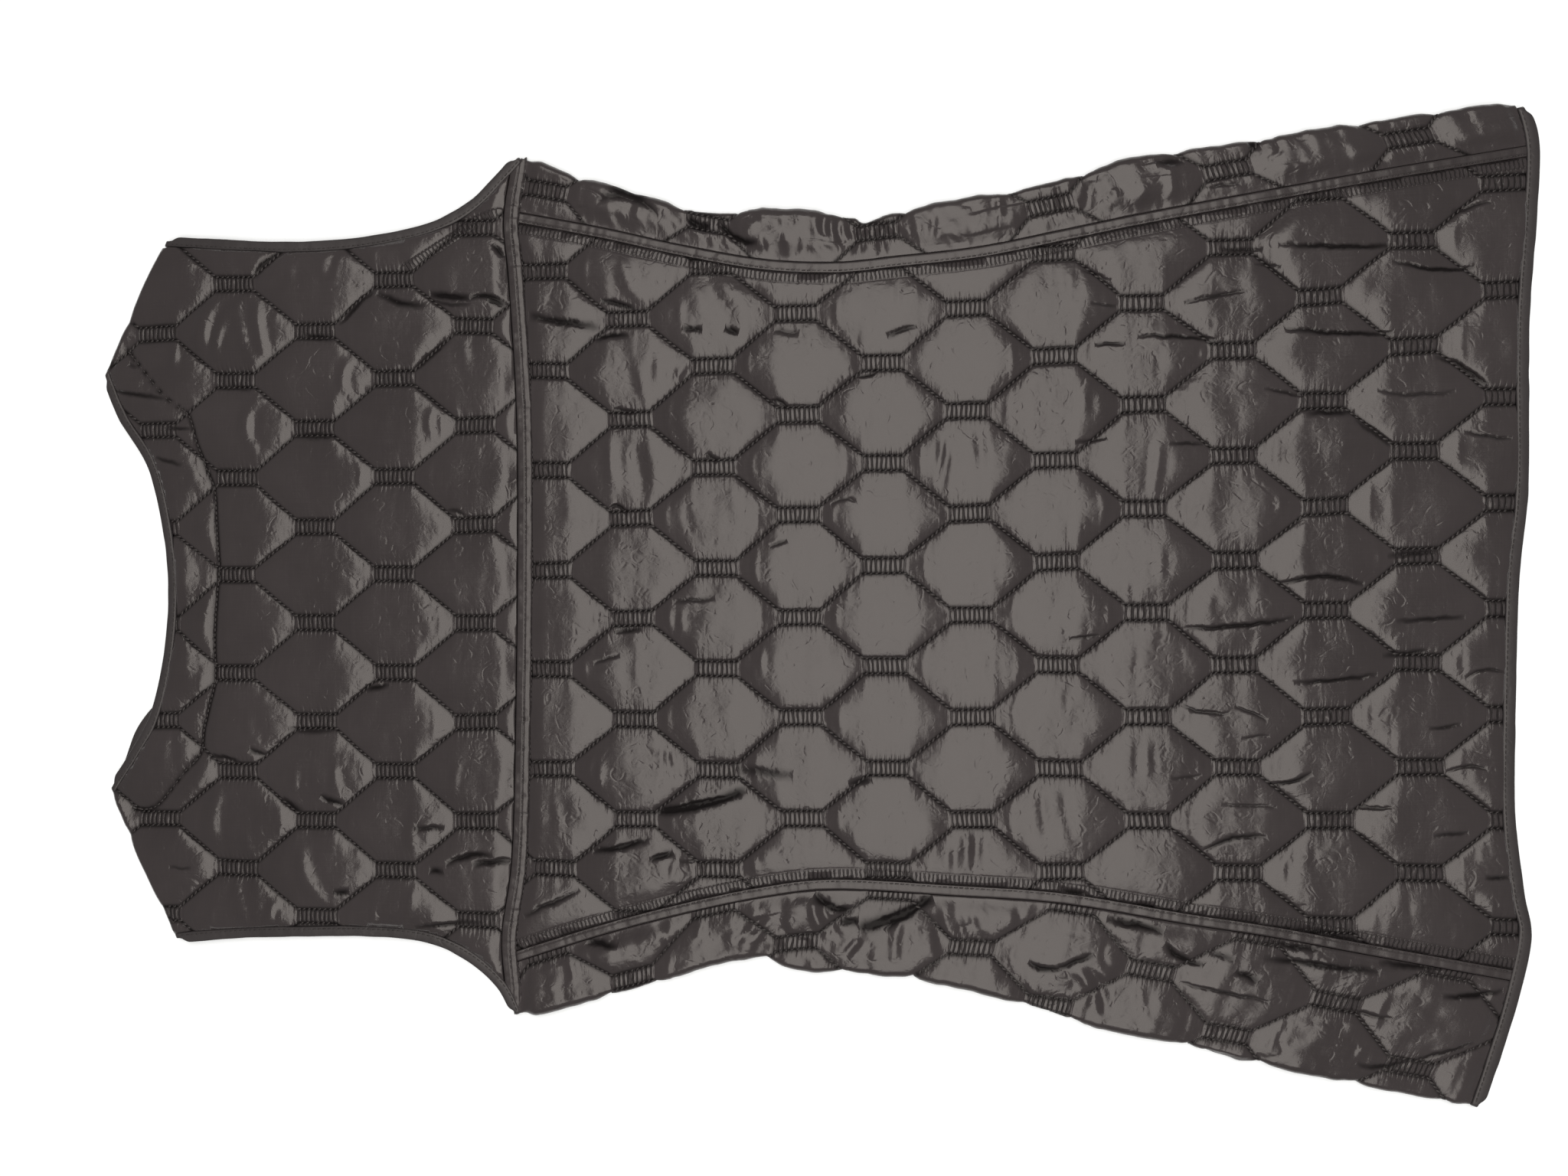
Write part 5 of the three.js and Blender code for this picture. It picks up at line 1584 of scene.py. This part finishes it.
def turning(point, out, across, downwards):
    """Stations that carry a binding over an edge, from one layer to the other."""
    middle, radius = (TOP_RUN + LOW_RUN) / 2, (TOP_RUN - LOW_RUN) / 2
    angles = np.radians([90, 65, 35, 0, -35, -65, -90])
    made = []
    for angle in angles if downwards else angles[::-1]:
        up = np.array([out[0] * math.cos(angle), out[1] * math.cos(angle), math.sin(angle)])
        made.append((np.array([*point, middle]) + up * radius, across, up))
    return made


def level_stations(line, z, way=1):
    """Places along a line, with the directions across and up. way is -1 on the underside."""
    places, across = raised(line.points, z), raised(line.left() * way, 0.0)
    return [(place, side, np.array([0, 0, way * 1.0])) for place, side in zip(places, across)]


def binding(name, run, width, thickness, outer, slants, seed, before=None, after=None, closed=False):
    """A binding over the back that turns over at its ends and goes on underneath. outer is 1 where
    its free edge is on the left of its travel, and -1 on the right; that edge's ends are rounded.
    slants say how far each end's inner edge runs on, for each mm of width."""
    top = level_stations(run, TOP_RUN)
    first, last = run.tangent([0.0, run.length])
    stations = level_stations(before, LOW_RUN, -1) if before else []
    stations += turning(run.points[0], -first, top[0][1], False)
    stations += top[1:-1]
    stations += turning(run.points[-1], last, top[-1][1], True)
    stations += level_stations(after, LOW_RUN, -1) if after else []
    at, across, up = (np.array(part) for part in zip(*stations))
    s = np.concatenate([[0], np.cumsum(np.linalg.norm(np.diff(at, axis=0), axis=1))])[:, None]
    a, b = (part[None] for part in binding_section(width, thickness))
    # stitches draw the tape in, with small puckers between them
    drawn = 0.22 * ripple(s / 2.6, a / 4, seed + 1) + 0.2 * ripple(s / 7, a / 6, seed + 2)
    b = b * (1 + 0.32 * drawn)
    a = a * (1 + 0.05 * ripple(s / 9, 0 * s, seed + 3))
    outside = a * outer > 0
    shift = 0
    for point, inward, slant in ((run.points[0], first, slants[0]), (run.points[-1], -last, slants[1])):
        from_end = np.maximum((at[:, :2] - point) @ inward, 0)[:, None]
        left = np.clip(END_ROUND - from_end, 0, END_ROUND)
        inset = np.minimum(END_ROUND - np.sqrt(END_ROUND**2 - left**2), 0.5 * width)
        run_on = np.clip(1 - from_end / 13, 0, 1) * slant * (width / 2 - a * outer)
        shift += run_on[..., None] * -inward
        a = np.where(outside, a * (1 - inset / (width / 2) * 0.95), a)
    rings = at[:, None] + across[:, None] * a[..., None] + up[:, None] * b[..., None]
    rings[..., :2] += shift
    return tube(name, rings, np.stack([s + 0 * a, a], axis=-1), binding_cloth(), closed)


# ---------------------------------------------------------------- operators


def join(name, parts):
    """Joins pieces of one material into one."""
    bpy.ops.object.select_all(action="DESELECT")
    for part in parts:
        part.select_set(True)
    bpy.context.view_layer.objects.active = parts[0]
    bpy.ops.object.join()
    parts[0].name = name
    parts[0].data.name = name
    return parts[0]


def dress(piece, slot, *nodes):
    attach(piece, "root")
    if nodes:
        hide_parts(*nodes)
    return piece


class VEST_OT_back(bpy.types.Operator):
    """Make the quilted yoke and centre back, with their stitches"""

    bl_idname = "vest.back"
    bl_label = "Back"

    def execute(self, context):
        mm = in_mm(context)
        yoke = yoke_panel(mm)
        piece = dress(back_piece("yoke", yoke, rolled_rings()), "quilted_nylon", "back_yoke")
        stitches = join("vest_yoke_stitches", [yoke.stitches("stitches"), facing_stitches(yoke)])
        dress(stitches, "quilted_nylon")
        centre = centre_panel(mm)
        piece = back_piece("centre", centre, [level_floor(BACK_INSIDE)])
        dress(piece, "quilted_nylon", "back_centre")
        stitches = dress(centre.stitches("vest_centre_stitches"), "quilted_nylon")
        return {"FINISHED"}


class VEST_OT_sides(bpy.types.Operator):
    """Make the two side panels that wrap round the folds"""

    bl_idname = "vest.sides"
    bl_label = "Side panels"

    def execute(self, context):
        mm = in_mm(context)
        for name, side in SIDES.items():
            panel = SidePanel(name, mm)
            piece = dress(panel.build(), "quilted_nylon", "side_" + name)
            stitches = dress(panel.stitches(), "quilted_nylon")
            "vest_front_" + name
        return {"FINISHED"}


class VEST_OT_fronts(bpy.types.Operator):
    """Make the two fronts that the vest lies on"""

    bl_idname = "vest.fronts"
    bl_label = "Fronts"

    def execute(self, context):
        mm = in_mm(context)
        for name in SIDES:
            piece = dress(front_panel(name, mm), "quilted_nylon", "front_" + name)
        return {"FINISHED"}


class VEST_OT_seams(bpy.types.Operator):
    """Make the felled seams with their rows of stitches"""

    bl_idname = "vest.seams"
    bl_label = "Seams"

    def execute(self, context):
        mm = in_mm(context)
        piece, line = yoke_strip(mm)
        dress(piece, "quilted_nylon", "yoke_seam")
        rows = [(line, away, BACK_INSIDE + 1.95) for away in YOKE_ROWS]
        for name, side in SIDES.items():
            piece, line = side_strip(name, mm)
            dress(piece, "quilted_nylon", "side_seam_" + name)
            rows.append((line, -side["way"] * SIDE_ROW, BACK_INSIDE + 1.75))
        rows = [stitch_row(line, away, z, mm.seam_stitch, SEAM_STITCH) for line, away, z in rows]
        dress(join("vest_seam_stitches", rows), "quilted_nylon")
        return {"FINISHED"}


class VEST_OT_bindings(bpy.types.Operator):
    """Make the bindings of the neck, the armholes and the hem"""

    bl_idname = "vest.bindings"
    bl_label = "Bindings"

    def execute(self, context):
        mm = in_mm(context)
        thickness = mm.binding_thickness
        rows = []
        for name, side in SIDES.items():
            way, width = side["way"], mm.armhole_binding
            run = binding_run(side["armhole"].offset(-way * width / 2))
            piece = binding("vest_armhole_binding_" + name, run, width, thickness, way, (side["slant"], 0),
                            400 + side["column"], after=Line(run.points[::-1][1:-1]), closed=True)
            dress(piece, "binding_tape", "armhole_binding_" + name)
            rows.append((run, -way * 1.5))
        run = binding_run(neck.offset(mm.neck_binding / 2))
        right, left = (front_neck_run(side, mm).points for side in SIDES.values())
        piece = binding("vest_neck_binding", run, mm.neck_binding, thickness, -1, (0.86, 0.61), 410,
                        before=Line(right[::-1][:-1]), after=Line(left[1:]))
        dress(piece, "binding_tape", "neck_binding")
        rows.append((run, 1.2))
        run = binding_run(hem.offset(-mm.hem_binding / 2), HEM_START)
        from_opening = run.points[::-1, 1] - CENTRE_FRONT_Y
        clear = FRONT_OPENING / 2 + 1
        piece = binding("vest_hem_binding", run, mm.hem_binding, thickness, 1, (0.12, 0), 420,
                        before=Line(run.points[::-1][from_opening > clear][:-1]),
                        after=Line(run.points[::-1][from_opening < -clear][1:]))
        dress(piece, "binding_tape", "hem_binding")
        rows.append((run, -1.7))
        rows = [stitch_row(run, away, TOP_RUN + 0.93, EDGE_PITCH, BINDING_STITCH) for run, away in rows]
        dress(join("vest_binding_stitches", rows), "binding_tape")
        return {"FINISHED"}


class VEST_OT_stage(bpy.types.Operator):
    """Make the pale floor, the soft lights and the camera"""

    bl_idname = "vest.stage"
    bl_label = "Stage"

    def execute(self, context):
        scene = context.scene
        bpy.ops.object.select_all(action="DESELECT")
        bpy.ops.mesh.primitive_grid_add(x_subdivisions=8, y_subdivisions=8, size=9, location=(0, 0, -0.0003))
        floor = context.active_object
        bpy.ops.object.transform_apply(location=True, rotation=True, scale=True)
        floor.name = "floor"
        floor.data.materials.append(self.floor_material(tuple(scene.vest_colours.floor)))
        panel = bpy.data.lights.new("overhead_panel", "AREA")
        panel.shape = "RECTANGLE"
        panel.size, panel.size_y = 1.45, 4.2
        panel.energy = 86
        lamp = bpy.data.objects.new("overhead_panel", panel)
        lamp.location = (0.12, 0.0, 2.2)
        scene.collection.objects.link(lamp)
        scene.world = scene.world or bpy.data.worlds.new("studio")
        scene.world.use_nodes = True
        background = scene.world.node_tree.nodes["Background"].inputs
        background["Color"].default_value = (1, 1, 1, 1)
        background["Strength"].default_value = 0.22
        scene.view_settings.view_transform = "Standard"
        data = bpy.data.cameras.new("camera")
        data.sensor_width, data.lens = 36, 27
        camera = bpy.data.objects.new("camera", data)
        camera.location = (0.0524, 0.0094, 0.6468)
        camera.rotation_euler = (0, math.atan2(0.0532, 0.6468), 0)
        scene.collection.objects.link(camera)
        scene.camera = camera
        return {"FINISHED"}

    def floor_material(self, pale):
        material = bpy.data.materials.new("floor")
        material.use_nodes = True
        tree = material.node_tree
        shader = tree.nodes["Principled BSDF"].inputs
        share = noise(object_place(tree), 3.0, 3.0)
        connect(mixed(share, (*(c * 0.985 for c in pale), 1), (*pale, 1)), shader["Base Color"])
        connect(0.9, shader["Roughness"])
        connect(0.1, shader["Specular IOR Level"])
        return material


class VEST_PT_panel(bpy.types.Panel):
    """The vest's sizes, colours and steps"""

    bl_idname = "VEST_PT_panel"
    bl_label = "Quilted vest"
    bl_space_type = "VIEW_3D"
    bl_region_type = "UI"
    bl_category = "Vest"

    def draw(self, context):
        for group in (context.scene.vest_sizes, context.scene.vest_colours):
            box = self.layout.box()
            for name in type(group).__annotations__:
                box.prop(group, name)
        for step in STEPS:
            self.layout.operator(step.bl_idname)


STEPS = [VEST_OT_fronts, VEST_OT_back, VEST_OT_sides, VEST_OT_seams, VEST_OT_bindings, VEST_OT_stage]
CLASSES = [VestSizes, VestColours, *STEPS, VEST_PT_panel]


def register():
    for made in CLASSES:
        bpy.utils.register_class(made)
    bpy.types.Scene.vest_sizes = bpy.props.PointerProperty(type=VestSizes)
    bpy.types.Scene.vest_colours = bpy.props.PointerProperty(type=VestColours)


def unregister():
    del bpy.types.Scene.vest_colours
    del bpy.types.Scene.vest_sizes
    for made in reversed(CLASSES):
        bpy.utils.unregister_class(made)


def main():
    register()
    bpy.ops.object.select_all(action="DESELECT")
    bpy.ops.vest.fronts()
    bpy.ops.vest.back()
    bpy.ops.vest.sides()
    bpy.ops.vest.seams()
    bpy.ops.vest.bindings()
    bpy.ops.vest.stage()
    bpy.context.view_layer.update()


if __name__ == "__main__":
    main()
